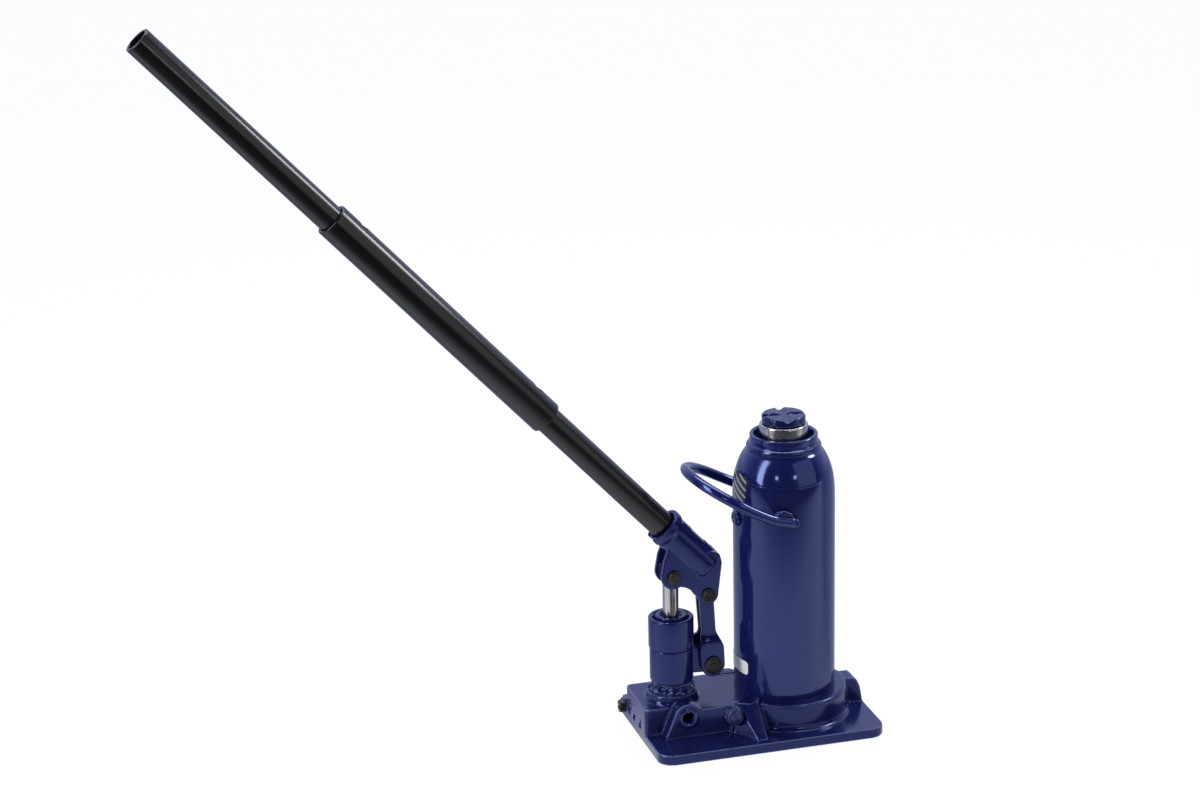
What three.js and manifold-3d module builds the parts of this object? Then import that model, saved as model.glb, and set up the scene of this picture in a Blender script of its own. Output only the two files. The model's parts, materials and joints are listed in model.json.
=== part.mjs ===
// Hydraulic bottle jack with a three-piece pump handle.
// Millimetres, +Z up. The origin is on the ram's axis, on the underside of the base.
// +X runs from the pump towards the ram, and the pump handle rises towards -X.

import * as THREE from 'three';
import { mergeVertices } from 'three/addons/utils/BufferGeometryUtils.js';
import { ConvexGeometry } from 'three/addons/geometries/ConvexGeometry.js';
import Module from 'manifold-3d';

const wasm = await Module();
wasm.setup();

// ---------------------------------------------------------------- driving dimensions

const GAP = 0.3;                 // between pieces that touch
const SLIP = 0.08;               // radial clearance of a sliding or turning fit
const FINE = 28;                 // sides of the large round pieces
const MEDIUM = 20;
const SMALL = 16;                // fine enough for a pin to turn in its eye
const TINY = 8;

const PLATE = { x0: -122, x1: 63.5, halfWidth: 63.5, top: 8, corner: 12 };
const BLOCK = { front: -21, rear: 34, top: 30, inner: -30 };
const COLLAR = { radius: 49.5, foot: 53, top: 30 };
const SIDE_PORT = { x: -90, z: 24, rim: 11.5, front: -32.5, hole: 4.2 };
const OVERLOAD = { x: -53, z: 22, radius: 4.2, seat: -14 };
const RELEASE = { y: 38, z: 10, radius: 5, head: -126.7, seat: -92 };
const PASSAGE = { radius: 2.2, z: 13, delivery: -4.5, suction: 12, bypass: 25 };
const END_PLUG = { radius: 4.5, depth: 9, sunk: 1.2 };

const RESERVOIR = { outer: 40, inner: 37, seat: 22, top: 206.7 };
const CYLINDER = { outer: 27, inner: 23, seat: 16, top: 212.7 };
const NUT = { rim: 26.6, mouth: 23.3, bottom: 204, top: 240 };
const RAM = { radius: 19, spigot: 13, shoulder: 44, top: 248, bore: 12.9, boreFloor: 66 };
const SCREW = { radius: 12.3, neck: 10, bottom: 66.5, top: 248 };
const SADDLE = { radius: 17.1, bottom: 248.3, top: 255.2, groove: 6.4, grooveFloor: 252.9 };

const PUMP = { x: -93.7, body: 17.2, top: 73.5, shoulder: 46, boss: 37.5, chamber: 16, spigot: 13.5 };
const PUMP_NUT = { radius: 17.9, bottom: 73.8, top: 98.6 };
const ROD = { radius: 6.25, bottom: 50 };
const PISTON_PIVOT = { x: -93.7, z: 134.2 };
const LINK_TOP = { x: -66, z: 116.6 };
const LINK_FOOT = { x: -62.9, z: 57.4 };
const LUG_HALF = 7.5;
const CHEEK = { inner: 6.6, outer: 10.6 };
const LINK = { narrow: 5.6, wide: 9.8, thickness: 3.9, upper: 2.3, lower: 8.2, topEye: 8.2 };
const PIN = { piston: 4, upper: 3.5, lower: 4 };
const LINK_PLAY = 5.4;           // radius of the link's upper eye

const SOCKET_MOUTH = { x: -99.6, z: 175 };
const HANDLE_TILT = 47.2;        // degrees above the horizontal
const SOCKET = { outer: 14, rim: 15.5, bore: 10.95, depth: 48, length: 52 };
const TUBE = { outer: 10.65, inner: 8.25 };
const SLEEVE = { outer: 13.3, inner: 10.95, start: 133.4, end: 365.5 };
const OVERLAP = 62;              // length of tube inside each end of the sleeve
const HANDLE_END = 560.5;
const BUTTON = { radius: 3.2, hole: 4.6, fromEnd: 22 };

const BAIL = { rod: 4, side: 44.4, start: -5, bend: -37, loop: 41, z: 180.2 };

// ---------------------------------------------------------------- materials

const finish = (color, roughness, metalness) => ({ color, roughness, metalness });
const BLUE_PAINT = finish(0x232a66, 0.18, 0.1);
const BLACK_COAT = finish(0x161618, 0.38, 0.2);
const BLACK_OXIDE = finish(0x23241f, 0.5, 0.6);
const BRIGHT_STEEL = finish(0xc4c4c4, 0.2, 1);
const TURNED_STEEL = finish(0x8f9196, 0.35, 0.9);
const COPPER = finish(0xb5713f, 0.35, 1);
const RUBBER = finish(0x15150f, 0.8, 0);
const URETHANE = finish(0x8a3a28, 0.55, 0);
const LABEL_DARK = finish(0x1b1c24, 0.4, 0);
const LABEL_WHITE = finish(0xd8dadc, 0.35, 0);

// ---------------------------------------------------------------- solids and booleans

const xyz = (x, y, z) => new THREE.Vector3(x, y, z);

// A closed three.js geometry as a solid, with its faces turned outwards.
function solid(geometry) {
  const bare = new THREE.BufferGeometry();
  const source = geometry.index ? geometry.toNonIndexed() : geometry;
  bare.setAttribute('position', source.getAttribute('position').clone());
  const merged = mergeVertices(bare, 1e-4);
  const places = merged.getAttribute('position').array;
  const corners = merged.index.array;
  const triangles = [];
  let volume = 0;
  const [a, b, c] = [xyz(0, 0, 0), xyz(0, 0, 0), xyz(0, 0, 0)];
  for (let i = 0; i < corners.length; i += 3) {
    const [p, q, r] = [corners[i], corners[i + 1], corners[i + 2]];
    if (p === q || q === r || r === p) continue;
    triangles.push(p, q, r);
    a.fromArray(places, 3 * p);
    b.fromArray(places, 3 * q);
    c.fromArray(places, 3 * r);
    volume += a.dot(b.cross(c));
  }
  if (volume < 0) triangles.reverse();
  const mesh = { numProp: 3, vertProperties: places, triVerts: new Uint32Array(triangles) };
  return new wasm.Manifold(new wasm.Mesh(mesh));
}

const join = (first, ...others) => others.reduce((sum, other) => sum.add(other), first);
const cut = (body, ...tools) => tools.reduce((rest, tool) => rest.subtract(tool), body);

// A closed outline of [radius, height] points turned about an axis through a point.
const AXIS_TURN = {
  z: new THREE.Euler(Math.PI / 2, 0, 0),
  y: new THREE.Euler(0, 0, 0),
  x: new THREE.Euler(0, 0, -Math.PI / 2),
};

function revolve(outline, sides, at = xyz(0, 0, 0), axis = 'z') {
  const points = outline.map(([radius, height]) => new THREE.Vector2(radius, height));
  const [first, last] = [outline[0], outline.at(-1)];
  if (first[0] > 0 || last[0] > 0) points.push(points[0].clone());
  const geometry = new THREE.LatheGeometry(points, sides);
  const turn = new THREE.Matrix4().makeRotationFromEuler(AXIS_TURN[axis]);
  geometry.applyMatrix4(turn);
  geometry.translate(at.x, at.y, at.z);
  return solid(geometry);
}

function rod(radius, from, to, sides, at = xyz(0, 0, 0), axis = 'z') {
  return revolve([[0, from], [radius, from], [radius, to], [0, to]], sides, at, axis);
}

function ring(inner, outer, from, to, sides, at = xyz(0, 0, 0), axis = 'z') {
  return revolve([[inner, from], [outer, from], [outer, to], [inner, to]], sides, at, axis);
}

function box(x0, x1, y0, y1, z0, z1) {
  const geometry = new THREE.BoxGeometry(x1 - x0, y1 - y0, z1 - z0);
  geometry.translate((x0 + x1) / 2, (y0 + y1) / 2, (z0 + z1) / 2);
  return solid(geometry);
}

// An outline drawn in X and Z, extruded from y0 to y1.
function slab(shape, y0, y1, curveSegments = 8) {
  const settings = { depth: y1 - y0, bevelEnabled: false, curveSegments };
  const geometry = new THREE.ExtrudeGeometry(shape, settings);
  geometry.rotateX(Math.PI / 2);
  geometry.translate(0, y1, 0);
  return solid(geometry);
}

// An outline drawn in X and Y, extruded from z0 to z1.
function prism(shape, z0, z1, curveSegments = 8) {
  const settings = { depth: z1 - z0, bevelEnabled: false, curveSegments };
  const geometry = new THREE.ExtrudeGeometry(shape, settings);
  geometry.translate(0, 0, z0);
  return solid(geometry);
}

function polygon(points) {
  return new THREE.Shape(points.map(([x, y]) => new THREE.Vector2(x, y)));
}

const hull = (points) => solid(new ConvexGeometry(points.map(([x, y, z]) => xyz(x, y, z))));

// A hexagonal prism about Z, measured across its flats.
function hexagon(acrossFlats, from, to, at) {
  return rod(acrossFlats / Math.sqrt(3), from, to, 6, at);
}

function meshOf(name, body, look) {
  const { vertProperties, triVerts } = body.getMesh();
  const geometry = new THREE.BufferGeometry();
  geometry.setAttribute('position', new THREE.BufferAttribute(vertProperties, 3));
  geometry.setIndex(new THREE.BufferAttribute(triVerts, 1));
  geometry.computeVertexNormals();
  const mesh = new THREE.Mesh(geometry, new THREE.MeshStandardMaterial(look));
  mesh.name = name;
  return mesh;
}

// ---------------------------------------------------------------- base casting

function plateSolid() {
  const { x0, x1, halfWidth: w, top, corner: r } = PLATE;
  const outline = new THREE.Shape();
  outline.moveTo(x0 + r, -w);
  outline.lineTo(x1 - r, -w);
  outline.absarc(x1 - r, -w + r, r, -Math.PI / 2, 0);
  outline.lineTo(x1, w - r);
  outline.absarc(x1 - r, w - r, r, 0, Math.PI / 2);
  outline.lineTo(x0 + r, w);
  outline.absarc(x0 + r, w - r, r, Math.PI / 2, Math.PI);
  outline.lineTo(x0, -w + r);
  outline.absarc(x0 + r, -w + r, r, Math.PI, 1.5 * Math.PI);
  return prism(outline, 0, top, 5);
}

// The raised side wall, whose top edge arches over the threaded side port.
function sideWall() {
  const { x, z, rim, front } = SIDE_PORT;
  const footX = x - 19;
  const toCentre = Math.hypot(x - footX, z - PLATE.top);
  const tangent = Math.atan2(z - PLATE.top, x - footX) + Math.asin(rim / toCentre);
  const shoulder = Math.asin((BLOCK.top - z) / rim);
  const outline = new THREE.Shape();
  outline.moveTo(footX, PLATE.top / 2);
  outline.lineTo(footX, PLATE.top);
  outline.absarc(x, z, rim, tangent + Math.PI / 2, shoulder, true);
  outline.lineTo(BLOCK.inner - 6, BLOCK.top);
  outline.lineTo(BLOCK.inner - 6, PLATE.top / 2);
  return slab(outline, front, 0, 6);
}

// A triangular web from the collar down to the plate; side is -1 at the front, 1 at the rear.
function collarWeb(side) {
  const foot = [[-57, 28], [-57, 33], [-40, 57], [-33, 57], [-27, 38], [-27, 28]];
  const crest = [[-50, 28], [-50, 33], [-42, 37], [-34, 36], [-30, 28]];
  const at = (height) => ([x, y]) => [x, side * y, height];
  return hull([...foot.map(at(PLATE.top / 2)), ...foot.map(at(PLATE.top)), ...crest.map(at(31.5))]);
}

function endRib() {
  const outline = new THREE.Shape();
  outline.moveTo(40, 4);
  outline.lineTo(40, 29.5);
  outline.lineTo(55.5, 29.5);
  outline.quadraticCurveTo(61, 26, 63, PLATE.top);
  outline.lineTo(63, 4);
  const rounded = polygon([
    [-9.5, 4], [7.5, 4], [7.5, 24.5], [5.6, 28], [2, 29.5], [-4, 29.5], [-7.6, 28], [-9.5, 24.5],
  ]);
  return slab(outline, -10, 8, 4).intersect(slab(rounded, -64, -30).rotate([0, 0, 90]));
}

function baseCasting() {
  const pump = xyz(PUMP.x, 0, 0);
  const port = xyz(SIDE_PORT.x, 0, SIDE_PORT.z);
  const overload = xyz(OVERLOAD.x, 0, OVERLOAD.z);
  const release = xyz(0, RELEASE.y, RELEASE.z);
  const face = PLATE.x0;
  const { radius, z, delivery, suction, bypass } = PASSAGE;
  const collar = revolve([
    [0, 4], [COLLAR.foot, 4], [COLLAR.foot, PLATE.top], [COLLAR.radius + 1, PLATE.top + 1.5],
    [COLLAR.radius, PLATE.top + 4], [COLLAR.radius, COLLAR.top - 2],
    [COLLAR.radius - 2, COLLAR.top], [0, COLLAR.top],
  ], FINE);
  const body = join(
    plateSolid(),
    box(face, BLOCK.inner, BLOCK.front, BLOCK.rear, 0, BLOCK.top),
    sideWall(),
    collarWeb(-1),
    collarWeb(1),
    collar,
    endRib(),
    revolve([
      [0, PLATE.top], [21.5, PLATE.top], [21.5, 30.5], [20.4, 33], [20, 36.4], [19, PUMP.boss],
      [0, PUMP.boss],
    ], MEDIUM, pump),
    rod(9, face, -78, SMALL, release, 'x'),
    rod(8, -36, -24, SMALL, overload, 'y'),
  );
  const along = (y, to) => rod(radius, face - 1, to, TINY, xyz(0, y, z), 'x');
  const up = (x, y, to, from = z) => rod(radius - 0.3, from, to, TINY, xyz(x, y, 0));
  const endBore = (y) => rod(END_PLUG.radius + GAP, face - 1, face + 12, TINY, xyz(0, y, z), 'x');
  return cut(
    body,
    rod(RESERVOIR.outer + GAP, RESERVOIR.seat, 40, FINE),
    rod(CYLINDER.outer + GAP, CYLINDER.seat, 40, FINE),
    rod(PUMP.spigot + GAP, PUMP.chamber, 40, MEDIUM, pump),
    rod(20, PUMP.boss, 60, MEDIUM, pump),
    // delivery passage: pump chamber to the pressure cylinder
    along(delivery, 2),
    up(PUMP.x, delivery, PUMP.chamber + 1),
    rod(3.5, 9, CYLINDER.seat + 1, TINY),
    // suction passage: reservoir to the pump chamber
    along(suction, -29),
    up(-31, suction, RESERVOIR.seat + 1),
    rod(1.9, 1.5, suction, 8, xyz(PUMP.x, 0, 11), 'y'),
    rod(3.4, 9, PUMP.chamber + 1, TINY, xyz(PUMP.x, 2.8, 0)),
    // bypass passage: release valve back to the reservoir
    along(bypass, -25),
    up(-26.5, bypass, RESERVOIR.seat + 1),
    rod(RELEASE.radius + 0.15, face - 1, RELEASE.seat, SMALL, release, 'x'),
    rod(2, RELEASE.seat - 1, -86, 8, release, 'x'),
    rod(1.9, bypass, RELEASE.y, 8, xyz(-88, 0, 11), 'y'),
    ...[delivery, suction, bypass].map(endBore),
    // threaded side port, blind
    rod(SIDE_PORT.hole, SIDE_PORT.front - 1, -17, SMALL, port, 'y'),
    revolve([[0, -33], [6.3, -33], [4.2, -30.5], [0, -30.5]], SMALL, port, 'y'),
    // overload valve
    rod(OVERLOAD.radius + GAP, -38, OVERLOAD.seat, SMALL, overload, 'y'),
    rod(7.6, -60, -36, SMALL, overload, 'y'),
    rod(1.6, OVERLOAD.seat - 1, delivery, 8, overload, 'y'),
    rod(1.6, z, OVERLOAD.z, 8, xyz(OVERLOAD.x, delivery - 1, 0)),
  );
}

function basePieces() {
  const face = PLATE.x0 + END_PLUG.sunk;
  const { z, delivery, suction, bypass } = PASSAGE;
  const plug = (y, sunk) => revolve([
    [0, face + sunk], [END_PLUG.radius - 1.2, face + sunk], [END_PLUG.radius, face + sunk + 1],
    [END_PLUG.radius, face + END_PLUG.depth], [0, face + END_PLUG.depth],
  ], TINY, xyz(0, y, z), 'x');
  const overload = xyz(OVERLOAD.x, 0, OVERLOAD.z);
  const overloadPlug = revolve([
    [0, -41], [3.2, -40.6], [5.8, -39], [7, -36.4], [4.1, -36.4], [4.1, -30], [0, -30],
  ], SMALL, overload, 'y');
  return [
    ['base_casting', baseCasting(), BLUE_PAINT],
    ['delivery_passage_plug', plug(delivery, 0), BLUE_PAINT],
    ['suction_passage_plug', plug(suction, 2.6), BLACK_OXIDE],
    ['bypass_passage_plug', plug(bypass, 0), BLUE_PAINT],
    ['overload_valve_plug', overloadPlug, BLUE_PAINT],
    ['overload_valve_spring', coilSpring(), TURNED_STEEL],
    ['overload_valve_ball', ball(2.6, xyz(OVERLOAD.x, OVERLOAD.seat - 2.9, OVERLOAD.z)), BRIGHT_STEEL],
    ['release_valve_ball', ball(2.4, xyz(RELEASE.seat - 2.7, RELEASE.y, RELEASE.z)), BRIGHT_STEEL],
    ['suction_valve_ball', ball(3, xyz(PUMP.x, 2.8, 12.2)), BRIGHT_STEEL],
    ['delivery_valve_ball', ball(3, xyz(0, 0, 12.2)), BRIGHT_STEEL],
  ];
}

function ball(radius, centre) {
  const geometry = new THREE.SphereGeometry(radius, 8, 6);
  geometry.translate(centre.x, centre.y, centre.z);
  return solid(geometry);
}

// A compression spring along Y, between the overload valve's plug and ball.
function coilSpring() {
  const [wire, coil, turns, from, to] = [0.5, 2.4, 3, -29.2, -20.4];
  class Helix extends THREE.Curve {
    getPoint(t, target = new THREE.Vector3()) {
      const angle = 2 * Math.PI * turns * t;
      const y = THREE.MathUtils.lerp(from, to, t);
      return target.set(OVERLOAD.x + coil * Math.cos(angle), y, OVERLOAD.z + coil * Math.sin(angle));
    }
  }
  const section = new THREE.Shape();
  section.absarc(0, 0, wire, 0, 2 * Math.PI);
  const settings = { extrudePath: new Helix(), steps: turns * 8, curveSegments: 3 };
  return solid(new THREE.ExtrudeGeometry(section, settings));
}

// ---------------------------------------------------------------- reservoir, cylinder and top nut

function tankNut() {
  const outside = [
    [33, 196], [36.7, 196], [36.7, 198.8], [35.2, 198.8], [35.2, 201.8], [36.7, 201.8],
    [36.7, 207], [RESERVOIR.outer, 207], [39.1, 210.4], [37.6, 214.4], [35.4, 219],
    [32.6, 223.6], [29.4, 227.4], [29.6, 230], [28.4, 232.4], [26.2, 233.6],
    [NUT.rim, 235], [NUT.rim, 239], [25.8, NUT.top],
  ];
  const inside = [
    [NUT.mouth + 0.7, NUT.top], [NUT.mouth, 239], [NUT.mouth, 226], [RAM.radius + SLIP, 226],
    [RAM.radius + SLIP, NUT.bottom], [CYLINDER.inner - GAP, NUT.bottom],
    [CYLINDER.inner - GAP, CYLINDER.top + GAP], [CYLINDER.outer + GAP, CYLINDER.top + GAP],
    [CYLINDER.outer + GAP, NUT.bottom], [33, NUT.bottom],
  ];
  return revolve([...outside, ...inside], FINE);
}

function tankPieces() {
  const { outer, inner, seat, top } = RESERVOIR;
  const wiper = [[19.4, 226.3], [23, 226.3], [23, 230.5], [20.6, 230.5], [19.4, 232.4]];
  const fillerHole = rod(FILLER.stem + GAP, 30, 50, SMALL, xyz(0, 0, FILLER.z), 'x')
    .rotate([0, 0, FILLER.angle]);
  const oRing = [[35.5, 200.3], [36.2, 199.1], [36.9, 200.3], [36.2, 201.5]];
  return [
    ['reservoir_tube', cut(ring(inner, outer, seat + 1.3, top, FINE), fillerHole), BLUE_PAINT],
    ['reservoir_gasket', ring(inner + 0.2, outer, seat + GAP, seat + 1, FINE), RUBBER],
    ['pressure_cylinder', ring(CYLINDER.inner, CYLINDER.outer, 17.6, CYLINDER.top, FINE), TURNED_STEEL],
    ['cylinder_gasket', ring(23.5, 27, 16.3, 17.3, MEDIUM), COPPER],
    ['tank_nut', tankNut(), BLUE_PAINT],
    ['tank_nut_oring', revolve(oRing, FINE), RUBBER],
    ['ram_wiper', revolve(wiper, FINE), RUBBER],
    ['filler_plug', fillerPlug(), BLUE_PAINT],
    ['rating_label', label(163, 203, 187.5, 211.5), LABEL_DARK],
    ['notice_label', label(152, 206, 47, 58), LABEL_WHITE],
  ];
}

const FILLER = { angle: 186, z: 175, radius: 6, stem: 3.9 };

// The oil filler plug, pushed into the reservoir's side; its head lies on the tube's outer wall.
function fillerPlug() {
  const { radius, z, angle, stem } = FILLER;
  const head = RESERVOIR.outer + GAP;
  const plug = revolve([
    [0, head + 3.2], [4.4, head + 3.2], [radius, head + 2.2], [radius, head - 0.1], [0, head - 0.1],
  ], SMALL, xyz(0, 0, z), 'x');
  const trimmed = cut(plug, rod(head, z - 10, z + 10, FINE * 3));
  const shank = rod(stem, RESERVOIR.inner - 1.5, head + 1, SMALL, xyz(0, 0, z), 'x');
  return join(trimmed, shank).rotate([0, 0, angle]);
}

// A thin sticker that follows the reservoir's wall, between two angles in degrees.
function label(fromAngle, toAngle, z0, z1) {
  const [from, to] = [fromAngle, toAngle].map(THREE.MathUtils.degToRad);
  const outline = new THREE.Shape();
  outline.absarc(0, 0, RESERVOIR.outer + 0.5, from, to);
  outline.absarc(0, 0, RESERVOIR.outer + 0.15, to, from, true);
  return prism(outline, z0, z1, 10);
}

// ---------------------------------------------------------------- carry handle

// Height of the carry handle's rod: its legs rise gently, its loop more steeply.
function bailHeight(x) {
  return BAIL.z + 0.28 * Math.min(BAIL.start - x, 22) + 0.56 * Math.max(0, BAIL.start - 22 - x);
}

function bailCurve() {
  const { side, start, bend, loop: radius } = BAIL;
  const leg = [start, -14, -24, bend].map((x) => xyz(x, -side, bailHeight(x)));
  const loop = [];
  for (let i = 1; i < 8; i += 1) {
    const angle = (i / 8) * Math.PI;
    const x = bend - radius * Math.sin(angle);
    loop.push(xyz(x, -side * Math.cos(angle), bailHeight(x)));
  }
  const back = leg.map((point) => xyz(point.x, -point.y, point.z)).reverse();
  return new THREE.CatmullRomCurve3([...leg, ...loop, ...back]);
}

// A round rod that follows the carry handle's curve.
function bentRod(radius) {
  const section = new THREE.Shape();
  section.absarc(0, 0, radius, 0, 2 * Math.PI);
  const settings = { extrudePath: bailCurve(), steps: 30, curveSegments: 4 };
  return solid(new THREE.ExtrudeGeometry(section, settings));
}

// The weld bead that joins one leg of the carry handle to the reservoir.
function weldBead(side) {
  const wall = RESERVOIR.outer + GAP;
  const points = [];
  for (const [x, rise] of [[-22, 4.4], [-16, 6.4], [-9, 6.4], [-3, 4.4]]) {
    for (const [y, up] of [[34, -2], [34, rise], [41.6, rise - 0.4], [BAIL.side, 4]]) {
      points.push([x, side * y, bailHeight(x) + up]);
    }
  }
  return cut(hull(points), rod(wall, 170, 200, FINE));
}

function bailPieces() {
  const room = bentRod(BAIL.rod + GAP);
  const largest = (body) => body.decompose().sort((a, b) => b.volume() - a.volume())[0];
  const bead = (side) => largest(cut(weldBead(side), room));
  return [
    ['carry_handle', bentRod(BAIL.rod), BLUE_PAINT],
    ['carry_handle_weld_front', bead(-1), BLUE_PAINT],
    ['carry_handle_weld_rear', bead(1), BLUE_PAINT],
  ];
}

// ---------------------------------------------------------------- ram, extension screw and saddle

function ramPieces() {
  const { radius, spigot, shoulder, top, bore, boreFloor } = RAM;
  const rings = spigot + GAP;
  const seal = CYLINDER.inner - SLIP;
  const ram = revolve([
    [0, 22.5], [spigot, 22.5], [spigot, shoulder], [radius, shoulder], [radius, top - 1.6],
    [radius - 1.4, top], [bore + 0.8, top], [bore, top - 1], [bore, boreFloor], [0, boreFloor],
  ], FINE);
  const cup = [[rings, 29], [22, 29], [22.3, 27.6], [seal, 27.6], [seal, 33.6], [rings, 33.6]];
  const nut = cut(hexagon(32, 21.5, 27.2), rod(rings, 20, 28, MEDIUM));
  return [
    ['ram', ram, BRIGHT_STEEL],
    ['ram_piston_head', ring(rings, seal, 33.9, shoulder - GAP, FINE), TURNED_STEEL],
    ['ram_cup_seal', revolve(cup, FINE), URETHANE],
    ['ram_piston_nut', nut, TURNED_STEEL],
  ];
}

function screwPieces() {
  const { radius, neck, bottom, top } = SCREW;
  const spigot = 8;
  const screw = revolve([
    [0, bottom], [radius - 1, bottom], [radius, bottom + 1], [radius, 70], [neck, 70], [neck, 74],
    [radius, 74], [radius, top - 0.1], [spigot, top - 0.1], [spigot, 251.5], [0, 251.5],
  ], MEDIUM);
  const disc = revolve([
    [spigot + GAP, SADDLE.bottom], [SADDLE.radius - 1, SADDLE.bottom],
    [SADDLE.radius, SADDLE.bottom + 1], [SADDLE.radius, SADDLE.top - 1], [16, SADDLE.top],
    [0, SADDLE.top], [0, 251.8], [spigot + GAP, 251.8],
  ], MEDIUM);
  const half = SADDLE.groove / 2;
  const { top: rim, grooveFloor: floor } = SADDLE;
  const groove = polygon([[-half, rim + 0.1], [-1, floor], [1, floor], [half, rim + 0.1]]);
  const first = slab(groove, -20, 20);
  const saddle = cut(disc, first.rotate([0, 0, -7]), first.rotate([0, 0, 83]));
  return {
    ring: [['screw_stop_ring', ring(neck + GAP, 12.6, 70.3, 73.7, MEDIUM), TURNED_STEEL]],
    screw: [['extension_screw', screw, TURNED_STEEL], ['saddle', saddle, BLUE_PAINT]],
  };
}

// ---------------------------------------------------------------- pump

function pumpBody() {
  const pump = xyz(PUMP.x, 0, 0);
  const { x, z } = LINK_FOOT;
  const lug = new THREE.Shape();
  lug.moveTo(-84, 51);
  lug.lineTo(x, z - 7.4);
  lug.absarc(x, z, 7.4, -Math.PI / 2, Math.PI / 3);
  lug.lineTo(-76.5, 73);
  lug.lineTo(-84, 73);
  const body = join(
    rod(PUMP.spigot, PUMP.chamber + GAP, PUMP.shoulder + 1, MEDIUM, pump),
    rod(PUMP.body, PUMP.shoulder, PUMP.top, MEDIUM, pump),
    slab(lug, -LUG_HALF, LUG_HALF, 6),
  );
  return cut(
    body,
    rod(ROD.radius + SLIP, 10, 80, MEDIUM, pump),
    rod(13.3, 62, 80, MEDIUM, pump),
    rod(PIN.lower + SLIP, -20, 20, SMALL, xyz(x, 0, z), 'y'),
  );
}

function pumpPieces() {
  const pump = xyz(PUMP.x, 0, 0);
  const bore = ROD.radius + SLIP;
  const gland = revolve([
    [bore, 67.3], [13, 67.3], [13, PUMP_NUT.bottom], [PUMP_NUT.radius - 0.5, PUMP_NUT.bottom],
    [PUMP_NUT.radius, 74.4], [PUMP_NUT.radius, PUMP_NUT.top - 0.9], [17, PUMP_NUT.top],
    [15, PUMP_NUT.top], [12.9, 95], [12.9, 92.7], [bore, 92.7],
  ], MEDIUM, pump);
  const wiper = revolve([
    [bore, 93], [12.5, 93], [12.5, 99.4], [11.9, 100], [9.4, 100], [bore + 1, 97],
    [bore, 96.6],
  ], MEDIUM, pump);
  const neck = PUMP.spigot + GAP;
  const bead = revolve([
    [neck, PUMP.boss + GAP], [18.8, PUMP.boss + GAP], [18.4, 39.4], [16, 41.4], [15.2, 43.2],
    [neck, 43.8],
  ], MEDIUM, pump);
  return [
    ['pump_body', pumpBody(), BLUE_PAINT],
    ['pump_foot_weld', bead, BLUE_PAINT],
    ['pump_packing', ring(bore, 13, 62.3, 67, MEDIUM, pump), URETHANE],
    ['pump_gland_nut', gland, BLUE_PAINT],
    ['pump_rod_wiper', wiper, BLUE_PAINT],
    ...pin('link_lower_pin', PIN.lower, 7.2, xyz(LINK_FOOT.x, 0, LINK_FOOT.z), LINK.lower + LINK.thickness),
  ];
}

function pistonPieces() {
  const { x, z } = PISTON_PIVOT;
  const pump = xyz(PUMP.x, 0, 0);
  const shank = revolve([
    [0, 41], [5, 41], [5, 43.7], [3.6, 43.7], [3.6, ROD.bottom], [ROD.radius, ROD.bottom],
    [ROD.radius, z], [0, z],
  ], MEDIUM, pump);
  const flats = box(x - 8, x + 8, -5.9, 5.9, z - 9, z + 9);
  const eye = rod(ROD.radius, -5.9, 5.9, MEDIUM, xyz(x, 0, z), 'y');
  const lower = box(x - 8, x + 8, -8, 8, 40, z - 9);
  const piston = cut(
    join(shank.intersect(join(flats, lower)), eye),
    rod(PIN.piston + SLIP, -10, 10, SMALL, xyz(x, 0, z), 'y'),
  );
  return [
    ['pump_piston', piston, BRIGHT_STEEL],
    ['pump_piston_seal', ring(3.9, ROD.radius, 44, 49.7, MEDIUM, pump), URETHANE],
    ...pin('piston_pin', PIN.piston, 5.7, xyz(x, 0, z), CHEEK.outer),
  ];
}

// A headed pivot pin along Y with its retaining clip; reach is the outer face it passes.
function pin(name, radius, head, at, reach) {
  const front = -(reach + GAP);
  const rear = reach + GAP;
  const shaft = revolve([
    [0, front - 3.4], [head * 0.62, front - 3.2], [head * 0.68, front - 2.4], [head, front - 2.1],
    [head, front], [radius, front], [radius, rear], [radius - 0.8, rear], [radius - 0.8, rear + 1.4],
    [radius, rear + 1.4], [radius - 0.4, rear + 2.6], [0, rear + 2.6],
  ], SMALL, at, 'y');
  const washer = ring(radius - 0.5, radius + 2.2, rear + 0.2, rear + 1.2, SMALL, at, 'y');
  const mouth = box(at.x - 1.6, at.x + 1.6, 0, 30, at.z - radius - 3, at.z);
  return [
    [name, shaft, BLACK_OXIDE],
    [`${name}_clip`, cut(washer, mouth), BLACK_OXIDE],
  ];
}

// ---------------------------------------------------------------- links

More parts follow.
